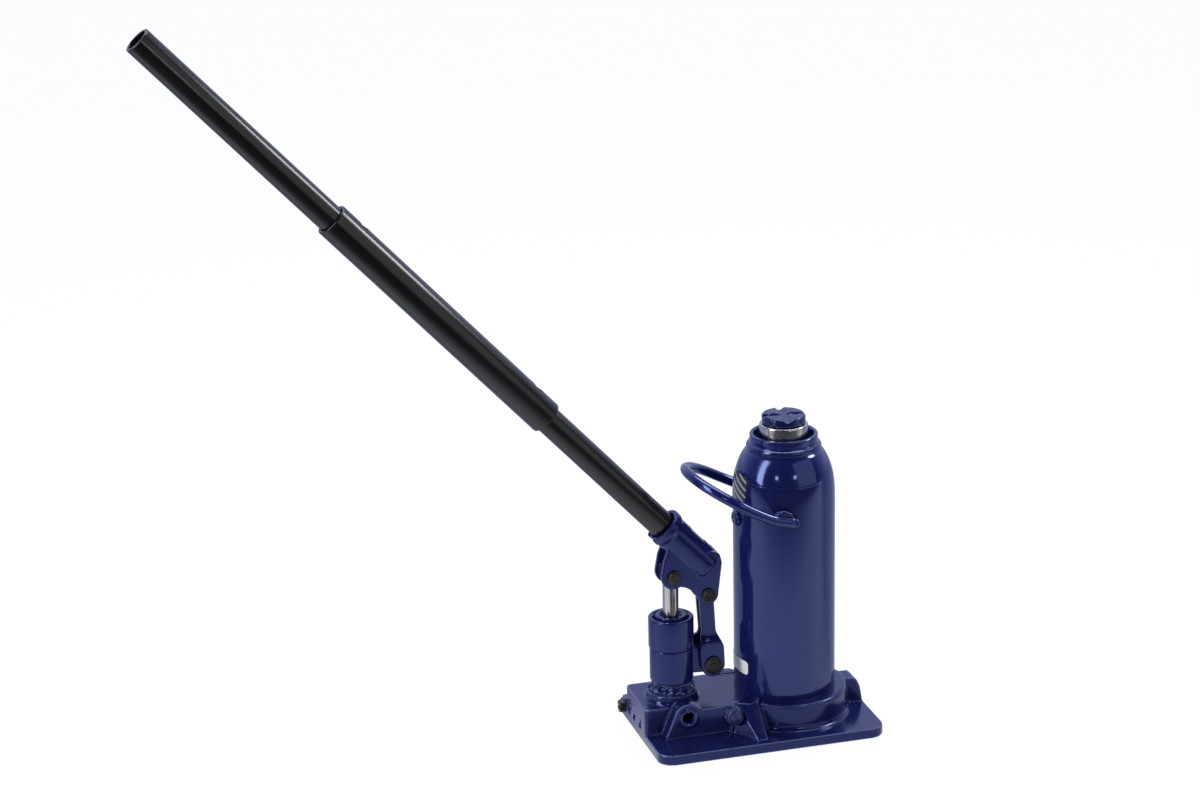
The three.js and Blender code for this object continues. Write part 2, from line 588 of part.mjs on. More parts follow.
// One jogged link plate: narrow between the socket's cheeks, wide beside the pump's lug.
function linkPlate(side) {
  const [top, foot] = [LINK_TOP, LINK_FOOT];
  const lean = Math.atan2(top.x - foot.x, top.z - foot.z);
  const place = (across, up) => [
    foot.x + up * Math.sin(lean) + across * Math.cos(lean),
    foot.z + up * Math.cos(lean) - across * Math.sin(lean),
  ];
  const length = Math.hypot(top.x - foot.x, top.z - foot.z);
  const blade = [
    [-LINK.wide, 0], [-LINK.wide, 15], [-LINK.narrow, 26], [-LINK.narrow, length],
    [LINK.narrow, length], [LINK.narrow, 26], [LINK.wide, 15], [LINK.wide, 0],
  ];
  const topAt = xyz(top.x, 0, top.z);
  const footAt = xyz(foot.x, 0, foot.z);
  const outline = join(
    slab(polygon(blade.map(([across, up]) => place(across, up))), -20, 20),
    rod(LINK.topEye, -20, 20, MEDIUM, topAt, 'y'),
    rod(LINK.wide, -20, 20, MEDIUM, footAt, 'y'),
  );
  // side view of the plate, in Y and Z, with the jog between the two heights
  const jog = [[40, LINK.lower], [75, LINK.lower], [81, LINK.upper], [130, LINK.upper]];
  const edge = jog.map(([z, y]) => [side * y, z]);
  const outer = jog.map(([z, y]) => [side * (y + LINK.thickness), z]).reverse();
  const bent = slab(polygon([...edge, ...outer]), -30, 30).rotate([0, 0, 90]);
  return cut(
    outline.intersect(bent.translate([foot.x, 0, 0])),
    rod(LINK_PLAY, -20, 20, SMALL, topAt, 'y'),
    rod(PIN.lower + SLIP, -20, 20, SMALL, footAt, 'y'),
  );
}

// ---------------------------------------------------------------- handle socket and handle

// Matrix that puts local +Z along the handle, with local +X on its upper side.
function handleFrame() {
  const tilt = THREE.MathUtils.degToRad(HANDLE_TILT);
  const along = xyz(-Math.cos(tilt), 0, Math.sin(tilt));
  const above = xyz(Math.sin(tilt), 0, Math.cos(tilt));
  const across = new THREE.Vector3().crossVectors(along, above);
  const frame = new THREE.Matrix4().makeBasis(above, across, along);
  return frame.setPosition(SOCKET_MOUTH.x, 0, SOCKET_MOUTH.z);
}

function cheekShape() {
  const [a, b] = [PISTON_PIVOT, LINK_TOP];
  const shape = new THREE.Shape();
  const deg = THREE.MathUtils.degToRad;
  shape.moveTo(-97, 160);
  shape.lineTo(a.x - 7.6, a.z + 14);
  shape.absarc(a.x, a.z, 10, deg(172), deg(300));
  shape.quadraticCurveTo(-79.5, 124.5, b.x + 8.5 * Math.cos(deg(200)), b.z + 8.5 * Math.sin(deg(200)));
  shape.absarc(b.x, b.z, 8.5, deg(200), deg(360));
  shape.lineTo(-54.4, 140);
  shape.quadraticCurveTo(-53.8, 146, -57.5, 149.8);
  shape.lineTo(-80, 158);
  return shape;
}

function handleSocket() {
  const toWorld = handleFrame();
  const place = (body) => body.transform(toWorld.elements);
  const { outer, rim, bore, depth, length } = SOCKET;
  const tube = place(revolve([
    [0, -length], [outer - 2, -length], [outer, -length + 2.5], [outer - 0.4, -8],
    [rim - 0.4, -5], [rim, -3.5], [rim, -1], [rim - 0.8, 0], [0, 0],
  ], MEDIUM));
  const hollow = place(revolve([
    [0, -depth], [bore, -depth], [bore, -5], [12.2, 0], [12.2, 1], [0, 1],
  ], MEDIUM));
  const plate = slab(cheekShape(), -CHEEK.outer, CHEEK.outer, 6);
  const between = box(-120, -40, -CHEEK.inner, CHEEK.inner, 90, 170);
  const back = box(-65, -50, -CHEEK.inner - 1, CHEEK.inner + 1, 128.5, 155);
  const cheeks = join(cut(plate, between), plate.intersect(back));
  const eye = (pivot, radius) => rod(radius, -20, 20, SMALL, xyz(pivot.x, 0, pivot.z), 'y');
  return cut(
    join(tube, cheeks),
    hollow,
    eye(PISTON_PIVOT, PIN.piston + SLIP),
    eye(LINK_TOP, PIN.upper + SLIP),
  );
}

// A handle tube between two stations along the handle, measured from the socket's mouth.
function handleTube({ outer, inner }, from, to, stations, hole) {
  const tube = ring(inner, outer, from, to, MEDIUM);
  const drills = stations.map((u) => rod(hole, 5, 20, SMALL, xyz(0, 0, u), 'x'));
  return cut(tube, ...drills);
}

function handlePieces() {
  const lowButton = SLEEVE.start + BUTTON.fromEnd;
  const highButton = SLEEVE.end - BUTTON.fromEnd;
  const drill = BUTTON.radius + GAP;
  const button = (u) => revolve([
    [0, 5], [BUTTON.radius, 5], [BUTTON.radius, 9.6], [2.2, 10.6], [0, 10.6],
  ], SMALL, xyz(0, 0, u), 'x');
  return [
    ['handle_lower_tube', handleTube(TUBE, -47.5, SLEEVE.start + OVERLAP, [lowButton], drill), BLACK_COAT],
    ['handle_sleeve', handleTube(SLEEVE, SLEEVE.start, SLEEVE.end, [lowButton, highButton], BUTTON.hole),
      BLACK_COAT],
    ['handle_upper_tube', handleTube(TUBE, SLEEVE.end - OVERLAP, HANDLE_END, [highButton], drill),
      BLACK_COAT],
    ['handle_lower_button', button(lowButton), BLACK_OXIDE],
    ['handle_upper_button', button(highButton), BLACK_OXIDE],
  ];
}

// ---------------------------------------------------------------- release valve

function releasePieces() {
  const at = xyz(0, RELEASE.y, RELEASE.z);
  const { radius, head, seat } = RELEASE;
  const groove = [-108, -104.6];
  const screw = revolve([
    [0, head], [radius - 0.8, head], [radius, head + 0.8], [radius, groove[0]],
    [radius - 1.6, groove[0]], [radius - 1.6, groove[1]], [radius, groove[1]],
    [radius, seat - 8], [2, seat - 5.6], [0, seat - 5.6],
  ], SMALL, at, 'x');
  const slot = box(head - 1, head + 2.4, RELEASE.y - 8, RELEASE.y + 8, RELEASE.z - 0.9, RELEASE.z + 0.9);
  const oRing = ring(radius - 1.3, radius + 0.05, groove[0] + 0.4, groove[1] - 0.4, SMALL, at, 'x');
  return [
    ['release_valve_screw', cut(screw, slot), BLACK_OXIDE],
    ['release_valve_oring', oRing, RUBBER],
  ];
}

// ---------------------------------------------------------------- assembly

const jack = new THREE.Group();

function addAll(parent, pieces) {
  const group = new THREE.Group();
  for (const [name, body, look] of pieces) group.add(meshOf(name, body, look));
  parent.add(group);
  return group;
}

const screwParts = screwPieces();
addAll(jack, basePieces());
addAll(jack, tankPieces());
addAll(jack, bailPieces());
addAll(jack, ramPieces());
addAll(jack, screwParts.ring);
addAll(jack, screwParts.screw);
addAll(jack, pumpPieces());
addAll(jack, pistonPieces());
addAll(jack, releasePieces());
addAll(jack, [
  ['link_front', linkPlate(-1), BLUE_PAINT],
  ['link_rear', linkPlate(1), BLUE_PAINT],
]);
addAll(jack, [
  ['handle_socket', handleSocket(), BLUE_PAINT],
  ...pin('link_upper_pin', PIN.upper, 5.3, xyz(LINK_TOP.x, 0, LINK_TOP.z), CHEEK.outer),
]);

const handle = addAll(jack, handlePieces());
handle.applyMatrix4(handleFrame());

export default jack;
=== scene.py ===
"""Looks of the hydraulic bottle jack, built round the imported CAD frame.

Pieces are modelled in millimetres and turned into metres as their meshes are made.
The frame is the CAD's: +Z up, the ram on the Z axis, the pump and its handle towards -X.
"""

import json
import math

import bmesh
import bpy
from mathutils import Matrix, Vector, noise


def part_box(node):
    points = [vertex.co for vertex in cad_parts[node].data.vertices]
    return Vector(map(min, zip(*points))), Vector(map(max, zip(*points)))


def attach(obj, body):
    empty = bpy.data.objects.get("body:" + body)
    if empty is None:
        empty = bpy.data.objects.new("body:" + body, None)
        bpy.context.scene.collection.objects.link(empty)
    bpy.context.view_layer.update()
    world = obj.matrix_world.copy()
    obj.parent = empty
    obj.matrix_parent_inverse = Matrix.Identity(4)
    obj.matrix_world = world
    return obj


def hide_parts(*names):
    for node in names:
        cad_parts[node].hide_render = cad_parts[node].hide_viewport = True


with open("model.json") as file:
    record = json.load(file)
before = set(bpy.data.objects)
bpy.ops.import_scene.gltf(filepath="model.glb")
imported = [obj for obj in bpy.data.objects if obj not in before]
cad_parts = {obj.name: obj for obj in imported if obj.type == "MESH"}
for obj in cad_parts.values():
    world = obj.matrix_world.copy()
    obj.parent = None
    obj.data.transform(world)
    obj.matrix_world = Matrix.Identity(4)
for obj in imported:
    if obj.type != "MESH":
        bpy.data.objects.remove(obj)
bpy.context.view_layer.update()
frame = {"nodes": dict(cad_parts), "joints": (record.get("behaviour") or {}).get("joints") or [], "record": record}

MM = 0.001

# ------------------------------------------------------------------ measures taken from the frame


def box_mm(node):
    """Lowest and highest corner of a CAD node, in millimetres."""
    low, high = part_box(node)
    return low / MM, high / MM


def radius_of(node):
    """Half of a CAD node's width along Y."""
    low, high = box_mm(node)
    return (high.y - low.y) / 2


def middle_of(node):
    low, high = box_mm(node)
    return (low + high) / 2


def joint(name):
    return next(j for j in frame["joints"] if j["name"] == name)


def joint_place(name):
    """A hinge's pivot, in millimetres."""
    return Vector(joint(name)["pos_m"]) / MM


base_low, base_high = box_mm("base_casting")
tank_radius = radius_of("reservoir_tube")
ram_radius = radius_of("ram")
pump_x = middle_of("pump_gland_nut").x
piston_eye = joint_place("handle_swing")
link_foot = joint_place("link_swing")
link_head = middle_of("link_upper_pin")
handle_axis = Vector(joint("handle_pull_out")["axis"])
handle_above = Vector((handle_axis.z, 0, -handle_axis.x))
SOCKET_MOUTH = Vector((-99.6, 0, 175))

# ------------------------------------------------------------------ mesh making


def fillet(points, closed=True):
    """[(x, y) or (x, y, radius)] as a list of points with its corners rounded.

    A rounded corner uses up no more than 0.49 of either side.
    """
    out = []
    count = len(points)
    for i, point in enumerate(points):
        here = Vector(point[:2])
        radius = point[2] if len(point) > 2 else 0
        ends = not closed and i in (0, count - 1)
        if radius <= 0 or ends:
            out.append(tuple(here))
            continue
        before = Vector(points[i - 1][:2]) - here
        after = Vector(points[(i + 1) % count][:2]) - here
        half = before.angle(after) / 2
        back = min(radius / math.tan(half), before.length * 0.49, after.length * 0.49)
        size = back * math.tan(half)
        start, end = here + before.normalized() * back, here + after.normalized() * back
        inwards = (before.normalized() + after.normalized()).normalized()
        centre = here + inwards * (size / math.sin(half))
        first, last = start - centre, end - centre
        turn = math.atan2(first.x * last.y - first.y * last.x, first.dot(last))
        steps = max(2, math.ceil(abs(turn) / math.radians(18)))
        for k in range(steps + 1):
            spin = Matrix.Rotation(turn * k / steps, 2)
            out.append(tuple(centre + spin @ first))
    return out


def arc(cx, cy, radius, start, end, steps):
    """Points on an arc, in degrees, counter-clockwise where end is above start."""
    angles = [math.radians(start + (end - start) * k / steps) for k in range(steps + 1)]
    return [(cx + radius * math.cos(a), cy + radius * math.sin(a)) for a in angles]


def smooth_path(points, each):
    """A Catmull-Rom curve through the points."""
    points = [Vector(p) for p in points]
    padded = [2 * points[0] - points[1], *points, 2 * points[-1] - points[-2]]
    out = []
    for a, b, c, d in zip(padded, padded[1:], padded[2:], padded[3:]):
        for k in range(each):
            t = k / each
            out.append(0.5 * ((2 * b) + (c - a) * t + (2 * a - 5 * b + 4 * c - d) * t * t
                              + (3 * b - a - 3 * c + d) * t ** 3))
    return [*out, points[-1]]


AXIS_GAP = 1e-6  # a revolved point nearer to the axis than this is on it


class Shape:
    """A list of vertices and faces in millimetres, joined from simple solids."""

    def __init__(self):
        self.verts, self.faces = [], []

    def add(self, verts, faces, matrix=None):
        base = len(self.verts)
        moved = [matrix @ Vector(v) for v in verts] if matrix else [Vector(v) for v in verts]
        self.verts += moved
        self.faces += [[base + i for i in f] for f in faces]
        return self

    def revolve(self, profile, sides=96, at=(0, 0, 0), axis="z", matrix=None, wave=None):
        """A closed outline of (radius, height) turned about an axis; wave may ripple its radius."""
        verts, rings, faces = [], [], []
        for r, h in profile:
            if r < AXIS_GAP:
                rings.append([len(verts)] * sides)
                verts.append((0, 0, h))
                continue
            rings.append([len(verts) + k for k in range(sides)])
            for k in range(sides):
                angle = 2 * math.pi * k / sides
                size, lift = wave(angle, r, h) if wave else (r, h)
                verts.append((size * math.cos(angle), size * math.sin(angle), lift))
        spans = list(zip(rings, rings[1:]))
        if profile[0][0] >= AXIS_GAP or profile[-1][0] >= AXIS_GAP:
            spans.append((rings[-1], rings[0]))
        for low, high in spans:
            for k in range(sides):
                n = (k + 1) % sides
                face = []
                for i in (low[k], low[n], high[n], high[k]):
                    if i not in face:
                        face.append(i)
                if len(face) > 2:
                    faces.append(face)
        turn = {"z": Matrix.Identity(4), "x": Matrix.Rotation(math.pi / 2, 4, "Y"),
                "y": Matrix.Rotation(-math.pi / 2, 4, "X")}[axis]
        place = matrix if matrix else Matrix.Translation(at) @ turn
        return self.add(verts, faces, place)

    def rod(self, radius, low, high, sides=48, **where):
        return self.revolve([(0, low), (radius, low), (radius, high), (0, high)], sides, **where)

    def prism(self, outline, low, high, plane="xz", matrix=None):
        """An outline extruded from low to high along Y (plane xz), Z (xy) or X (yz)."""
        lift = {"xz": lambda a, b, c: (a, c, b), "xy": lambda a, b, c: (a, b, c),
                "yz": lambda a, b, c: (c, a, b)}[plane]
        count = len(outline)
        verts = [lift(a, b, low) for a, b in outline] + [lift(a, b, high) for a, b in outline]
        faces = [list(range(count))[::-1], [count + i for i in range(count)]]
        faces += [[i, (i + 1) % count, count + (i + 1) % count, count + i] for i in range(count)]
        return self.add(verts, faces, matrix)

    def box(self, x0, x1, y0, y1, z0, z1):
        return self.prism([(x0, y0), (x1, y0), (x1, y1), (x0, y1)], z0, z1, "xy")

    def hull(self, points):
        mesh = bmesh.new()
        for p in points:
            mesh.verts.new(p)
        made = bmesh.ops.convex_hull(mesh, input=mesh.verts)
        extra = [v for v in made["geom_interior"] if isinstance(v, bmesh.types.BMVert)]
        bmesh.ops.delete(mesh, geom=extra, context="VERTS")
        mesh.verts.index_update()
        verts = [v.co.copy() for v in mesh.verts]
        faces = [[v.index for v in f.verts] for f in mesh.faces]
        mesh.free()
        return self.add(verts, faces)

    def tube(self, path, radius, sides, squeeze):
        """A rod along a path, closed at both ends; squeeze gives its height and width at a share."""
        points = [Vector(p) for p in path]
        verts, faces = [], []
        side = Vector((0, 0, 1))
        for i, p in enumerate(points):
            along = (points[min(i + 1, len(points) - 1)] - points[max(i - 1, 0)]).normalized()
            side = (side - along * side.dot(along)).normalized()
            other = along.cross(side)
            up, across = squeeze(i / (len(points) - 1))
            for k in range(sides):
                angle = 2 * math.pi * k / sides
                verts.append(p + side * radius * up * math.cos(angle)
                             + other * radius * across * math.sin(angle))
        for i in range(len(points) - 1):
            for k in range(sides):
                n = (k + 1) % sides
                a, b = i * sides, (i + 1) * sides
                faces.append([a + k, a + n, b + n, b + k])
        last = (len(points) - 1) * sides
        faces.append(list(range(sides))[::-1])
        faces.append([last + k for k in range(sides)])
        return self.add(verts, faces)

    def object(self, name):
        mesh = bpy.data.meshes.new(name)
        mesh.from_pydata([v * MM for v in self.verts], [], self.faces)
        mesh.validate()
        solid = bmesh.new()
        solid.from_mesh(mesh)
        bmesh.ops.recalc_face_normals(solid, faces=solid.faces)
        solid.to_mesh(mesh)
        solid.free()
        made = bpy.data.objects.new(name, mesh)
        bpy.context.scene.collection.objects.link(made)
        return made


def settle(obj):
    """Applies the object's modifiers to its mesh."""
    bpy.context.view_layer.update()
    depsgraph = bpy.context.evaluated_depsgraph_get()
    mesh = bpy.data.meshes.new_from_object(obj.evaluated_get(depsgraph))
    obj.modifiers.clear()
    old, obj.data = obj.data, mesh
    bpy.data.meshes.remove(old)
    mesh.name = obj.name


def melt(obj, voxel, rounds):
    """Merges overlapping solids into one skin and softens its edges, as a casting's are."""
    remesh = obj.modifiers.new("skin", "REMESH")
    remesh.mode, remesh.voxel_size, remesh.adaptivity = "VOXEL", voxel * MM, 0
    smooth = obj.modifiers.new("soft", "SMOOTH")
    smooth.factor, smooth.iterations = 0.5, rounds
    settle(obj)


def bevel(obj, width, angle=35):
    """Rounds the edges that are sharper than the angle."""
    edge = obj.modifiers.new("edge", "BEVEL")
    edge.width, edge.segments, edge.limit_method = width * MM, 3, "ANGLE"
    edge.angle_limit = math.radians(angle)
    settle(obj)


def carve(obj, *tools, operation="DIFFERENCE"):
    """Cuts each shape or object out of the object, or joins or intersects it, and uses it up."""
    for tool in tools:
        if isinstance(tool, Shape):
            tool = tool.object("tool")
        step = obj.modifiers.new("cut", "BOOLEAN")
        step.operation, step.solver, step.object = operation, "EXACT", tool
        settle(obj)
        bpy.data.objects.remove(tool)


def pin_hole(radius, at, sides=32):
    """A cutter along Y through a pivot."""
    return Shape().rod(radius, -20, 20, sides, at=(at.x, 0, at.z), axis="y")


def reshape(obj, cuts, move):
    """Cuts a flat mesh at planes of (place, direction) in metres, and moves its vertices."""
    mesh = bmesh.new()
    mesh.from_mesh(obj.data)
    for place, across in cuts:
        geometry = mesh.verts[:] + mesh.edges[:] + mesh.faces[:]
        bmesh.ops.bisect_plane(mesh, geom=geometry, plane_co=place, plane_no=across)
    for v in mesh.verts:
        v.co = move(v.co)
    bmesh.ops.recalc_face_normals(mesh, faces=mesh.faces)
    mesh.to_mesh(obj.data)
    mesh.free()


def smooth_shading(obj, angle):
    """Smooth normals, with the edges that are sharper than the angle left sharp."""
    obj.data.polygons.foreach_set("use_smooth", [True] * len(obj.data.polygons))
    obj.data.set_sharp_from_angle(angle=math.radians(angle))


def piece(obj, body, material, nodes, angle=32):
    """Finishes a new piece: its material, its body and the CAD nodes that it stands for."""
    obj.data.materials.clear()
    obj.data.materials.append(material)
    smooth_shading(obj, angle)
    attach(obj, body)
    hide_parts(*nodes)


# ------------------------------------------------------------------ materials


class Nodes:
    """The node tree of a material or of the world, with short calls for the nodes used here."""

    def __init__(self, owner, coordinates="Object"):
        owner.use_nodes = True
        self.material, self.tree = owner, owner.node_tree
        self.shader = self.tree.nodes.get("Principled BSDF")
        self.place = self.tree.nodes.new("ShaderNodeTexCoord").outputs[coordinates]

    def link(self, out, target):
        self.tree.links.new(out, target)

    def noise(self, scale, detail=4, rough=0.55, stretch=None):
        node = self.tree.nodes.new("ShaderNodeTexNoise")
        node.inputs["Scale"].default_value = scale
        node.inputs["Detail"].default_value = detail
        node.inputs["Roughness"].default_value = rough
        place = self.place
        if stretch:
            mapping = self.tree.nodes.new("ShaderNodeMapping")
            mapping.inputs["Scale"].default_value = stretch
            self.link(place, mapping.inputs["Vector"])
            place = mapping.outputs["Vector"]
        self.link(place, node.inputs["Vector"])
        return node.outputs["Fac"]

    def ramp(self, value, stops):
        """Colours by value, from (value, colour) stops."""
        node = self.tree.nodes.new("ShaderNodeValToRGB")
        while len(node.color_ramp.elements) < len(stops):
            node.color_ramp.elements.new(0.5)
        for element, (position, color) in zip(node.color_ramp.elements, stops):
            element.position, element.color = position, (*color, 1)
        self.link(value, node.inputs["Fac"])
        return node.outputs["Color"]

    def spread(self, value, low, high):
        """Maps the range that a noise mostly keeps to, 0.3 to 0.7, to low to high."""
        node = self.tree.nodes.new("ShaderNodeMapRange")
        node.inputs["To Min"].default_value = low
        node.inputs["To Max"].default_value = high
        node.inputs["From Min"].default_value = 0.3
        node.inputs["From Max"].default_value = 0.7
        self.link(value, node.inputs["Value"])
        return node.outputs["Result"]

    def edges(self):
        """How sharply the mesh turns outwards, above 0.5 along its rounded edges."""
        return self.tree.nodes.new("ShaderNodeNewGeometry").outputs["Pointiness"]

    def mix(self, share, color, other):
        """Goes from a linked colour to a plain one as share goes from 0 to 1."""
        node = self.tree.nodes.new("ShaderNodeMix")
        node.data_type = "RGBA"
        self.link(share, node.inputs["Factor"])
        self.link(color, node.inputs["A"])
        node.inputs["B"].default_value = other
        return node.outputs["Result"]

    def bump(self, *layers):
        """Bump from (height, distance in millimetres) layers, one on the other."""
        last = None
        for height, distance in layers:
            node = self.tree.nodes.new("ShaderNodeBump")
            node.inputs["Strength"].default_value = 1
            node.inputs["Distance"].default_value = distance * MM
            self.link(height, node.inputs["Height"])
            if last:
                self.link(last, node.inputs["Normal"])
            last = node.outputs["Normal"]
        self.link(last, self.shader.inputs["Normal"])

    def set(self, **values):
        for name, value in values.items():
            self.shader.inputs[name.replace("_", " ")].default_value = value

    def color(self, out):
        self.link(out, self.shader.inputs["Base Color"])

    def rough(self, out):
        self.link(out, self.shader.inputs["Roughness"])


def new_material(name):
    return Nodes(bpy.data.materials.new(name))


# The third of these is a pale blue painted on rounded edges: painted glints.
NAVY, NAVY_LIGHT, NAVY_PAINTED_GLINT = (0.0066, 0.0088, 0.068), (0.0092, 0.0122, 0.088), (0.24, 0.28, 0.58, 1)
NAVY_GLINT = (0.38, 0.47, 1.0, 1)


def blue_paint(name, grain=0.0, gloss=0.09, shine=1.0, painted_shade_and_glints=False):
    """Thick navy enamel: grain is the casting's skin under it, in millimetres, and gloss its roughness.

    The casting's copy is a little darker, painted shade, and has pale rounded edges, painted glints.
    """
    m = new_material(name)
    # the casting's copy is darkened to 0.82 of the navy: painted shade
    depth = 0.82 if painted_shade_and_glints else 1.0
    dark, light = (tuple(depth * c for c in color) for color in (NAVY, NAVY_LIGHT))
    paint = m.ramp(m.noise(26, 5), [(0.3, dark), (0.7, light)])
    if painted_shade_and_glints:
        # pale blue on the rounded edges, where light glints on them: painted glints
        painted_glint_mask = m.ramp(m.edges(), [(0.515, (0, 0, 0)), (0.575, (0.8, 0.8, 0.8))])
        paint = m.mix(painted_glint_mask, paint, NAVY_PAINTED_GLINT)
    m.color(paint)
    m.rough(m.spread(m.noise(60, 4), gloss, gloss + 0.06))
    m.set(Specular_IOR_Level=shine, Specular_Tint=NAVY_GLINT)
    layers = [(m.noise(240, 2), 0.035), (m.noise(45, 2), 0.09)]
    if grain:
        layers += [(m.noise(420, 5, 0.65), grain), (m.noise(95, 3), grain * 2.4)]
    m.bump(*layers)
    return m.material


def black_coat(name):
    m = new_material(name)
    m.color(m.ramp(m.noise(30, 6), [(0.3, (0.0030, 0.0030, 0.0038)), (0.7, (0.0050, 0.0050, 0.0062))]))
    m.rough(m.spread(m.noise(18, 2), 0.21, 0.25))
    m.set(Specular_IOR_Level=0.45)
    m.bump((m.noise(12, 1), 0.01))
    return m.material


def black_oxide(name, metal=0.55):
    m = new_material(name)
    m.color(m.ramp(m.noise(90, 6), [(0.3, (0.012, 0.013, 0.010)), (0.7, (0.032, 0.033, 0.026))]))
    m.rough(m.spread(m.noise(200, 5), 0.34, 0.52))
    m.set(Metallic=metal)
    m.bump((m.noise(500, 3), 0.03))
    return m.material


def bright_steel(name):
    m = new_material(name)
    m.color(m.ramp(m.noise(40, 5), [(0.3, (0.38, 0.37, 0.36)), (0.7, (0.52, 0.51, 0.50))]))
    m.rough(m.spread(m.noise(700, 3, stretch=(1, 1, 0.02)), 0.14, 0.26))
    m.set(Metallic=1.0)
    m.bump((m.noise(900, 2, stretch=(0.05, 0.05, 1)), 0.004))
    return m.material


def turned_steel(name):
    m = new_material(name)
    m.color(m.ramp(m.noise(60, 5), [(0.3, (0.27, 0.28, 0.29)), (0.7, (0.40, 0.41, 0.42))]))
    m.rough(m.spread(m.noise(900, 3, stretch=(0.05, 0.05, 1)), 0.22, 0.38))
    m.set(Metallic=1.0)
    m.bump((m.noise(1400, 2, stretch=(0.03, 0.03, 1)), 0.01))
    return m.material


def plain_stuff(name, dark, light, rough, metal=0):
    """Rubber, plastic, paper or copper: a colour between two, with a fine unevenness."""
    m = new_material(name)
    m.color(m.ramp(m.noise(120, 5), [(0.3, dark), (0.7, light)]))
    m.rough(m.spread(m.noise(200, 4), rough - 0.08, rough + 0.08))
    m.set(Metallic=metal)
    m.bump((m.noise(600, 3), 0.02))
    return m.material


def striped_label(name):
    """A dark sticker with slanted pale bars, which stand in for its print."""
    m = new_material(name)
    mapping = m.tree.nodes.new("ShaderNodeMapping")
    mapping.inputs["Rotation"].default_value = (math.radians(-24), 0, 0)
    m.link(m.place, mapping.inputs["Vector"])
    wave = m.tree.nodes.new("ShaderNodeTexWave")
    wave.bands_direction, wave.wave_profile = "Z", "SIN"
    wave.inputs["Scale"].default_value = 62
    m.link(mapping.outputs["Vector"], wave.inputs["Vector"])
    ground, bar = (0.010, 0.010, 0.022), (0.42, 0.43, 0.42)
    m.color(m.ramp(wave.outputs["Fac"], [(0.80, ground), (0.90, bar)]))
    m.rough(m.spread(m.noise(120, 4), 0.28, 0.4))
    m.set(Coat_Weight=0.4, Coat_Roughness=0.12)
    m.bump((m.noise(260, 2), 0.01))
    return m.material


BLUE = blue_paint("blue_enamel")
# The casting's enamel is a darker copy with pale edges: painted shade and painted glints.
BLUE_CAST_PAINTED_LIGHT = blue_paint("blue_enamel_on_casting_painted_light", grain=0.05, gloss=0.11, shine=0.6, painted_shade_and_glints=True)
BLUE_THIN = blue_paint("blue_enamel_on_pump", gloss=0.10, shine=0.66)
BLUE_PLATE = blue_paint("blue_enamel_on_plates", grain=0.03, gloss=0.10, shine=0.66)
BLACK = black_coat("black_tube_coat")
OXIDE = black_oxide("black_oxide")
OXIDE_SUNK = black_oxide("black_oxide_sunk", metal=0)
STEEL = bright_steel("polished_steel")
TURNED = turned_steel("turned_steel")
COPPER = plain_stuff("copper", (0.40, 0.17, 0.08), (0.52, 0.25, 0.13), 0.3, metal=1)
RUBBER = plain_stuff("rubber", (0.006, 0.006, 0.006), (0.014, 0.014, 0.013), 0.6)
URETHANE = plain_stuff("urethane", (0.20, 0.04, 0.02), (0.28, 0.07, 0.04), 0.45)
LABEL_DARK = striped_label("rating_sticker")
LABEL_WHITE = plain_stuff("notice_sticker", (0.78, 0.80, 0.81), (0.86, 0.87, 0.88), 0.35)

CAD_FINISH = {
    "blue_paint": BLUE, "black_coat": BLACK, "black_oxide": OXIDE, "bright_steel": STEEL,
    "turned_steel": TURNED, "copper": COPPER, "rubber": RUBBER, "urethane": URETHANE,
    "label_dark": LABEL_DARK, "label_white": LABEL_WHITE,
}
for part in frame["record"]["subparts"]:
    node = frame["nodes"][part["node"]]
    node.data.materials.clear()
    node.data.materials.append(CAD_FINISH[part["material_slot"]])
    smooth_shading(node, 30)

# ------------------------------------------------------------------ base casting

BLOCK_FRONT, BLOCK_REAR, BLOCK_TOP, BLOCK_END = -21, 34, 30, -30
PLATE_TOP = 8
PORT_X, PORT_Z, PORT_RIM, WALL_FRONT = -90, 24, 11.5, -32.5
OVERLOAD_X, OVERLOAD_Z = -53, 22
RELEASE_Y, RELEASE_Z = 38, 10
PASSAGE_Z, PASSAGES = 13, (-4.5, 12, 25)
PUMP_BOSS = 37.5


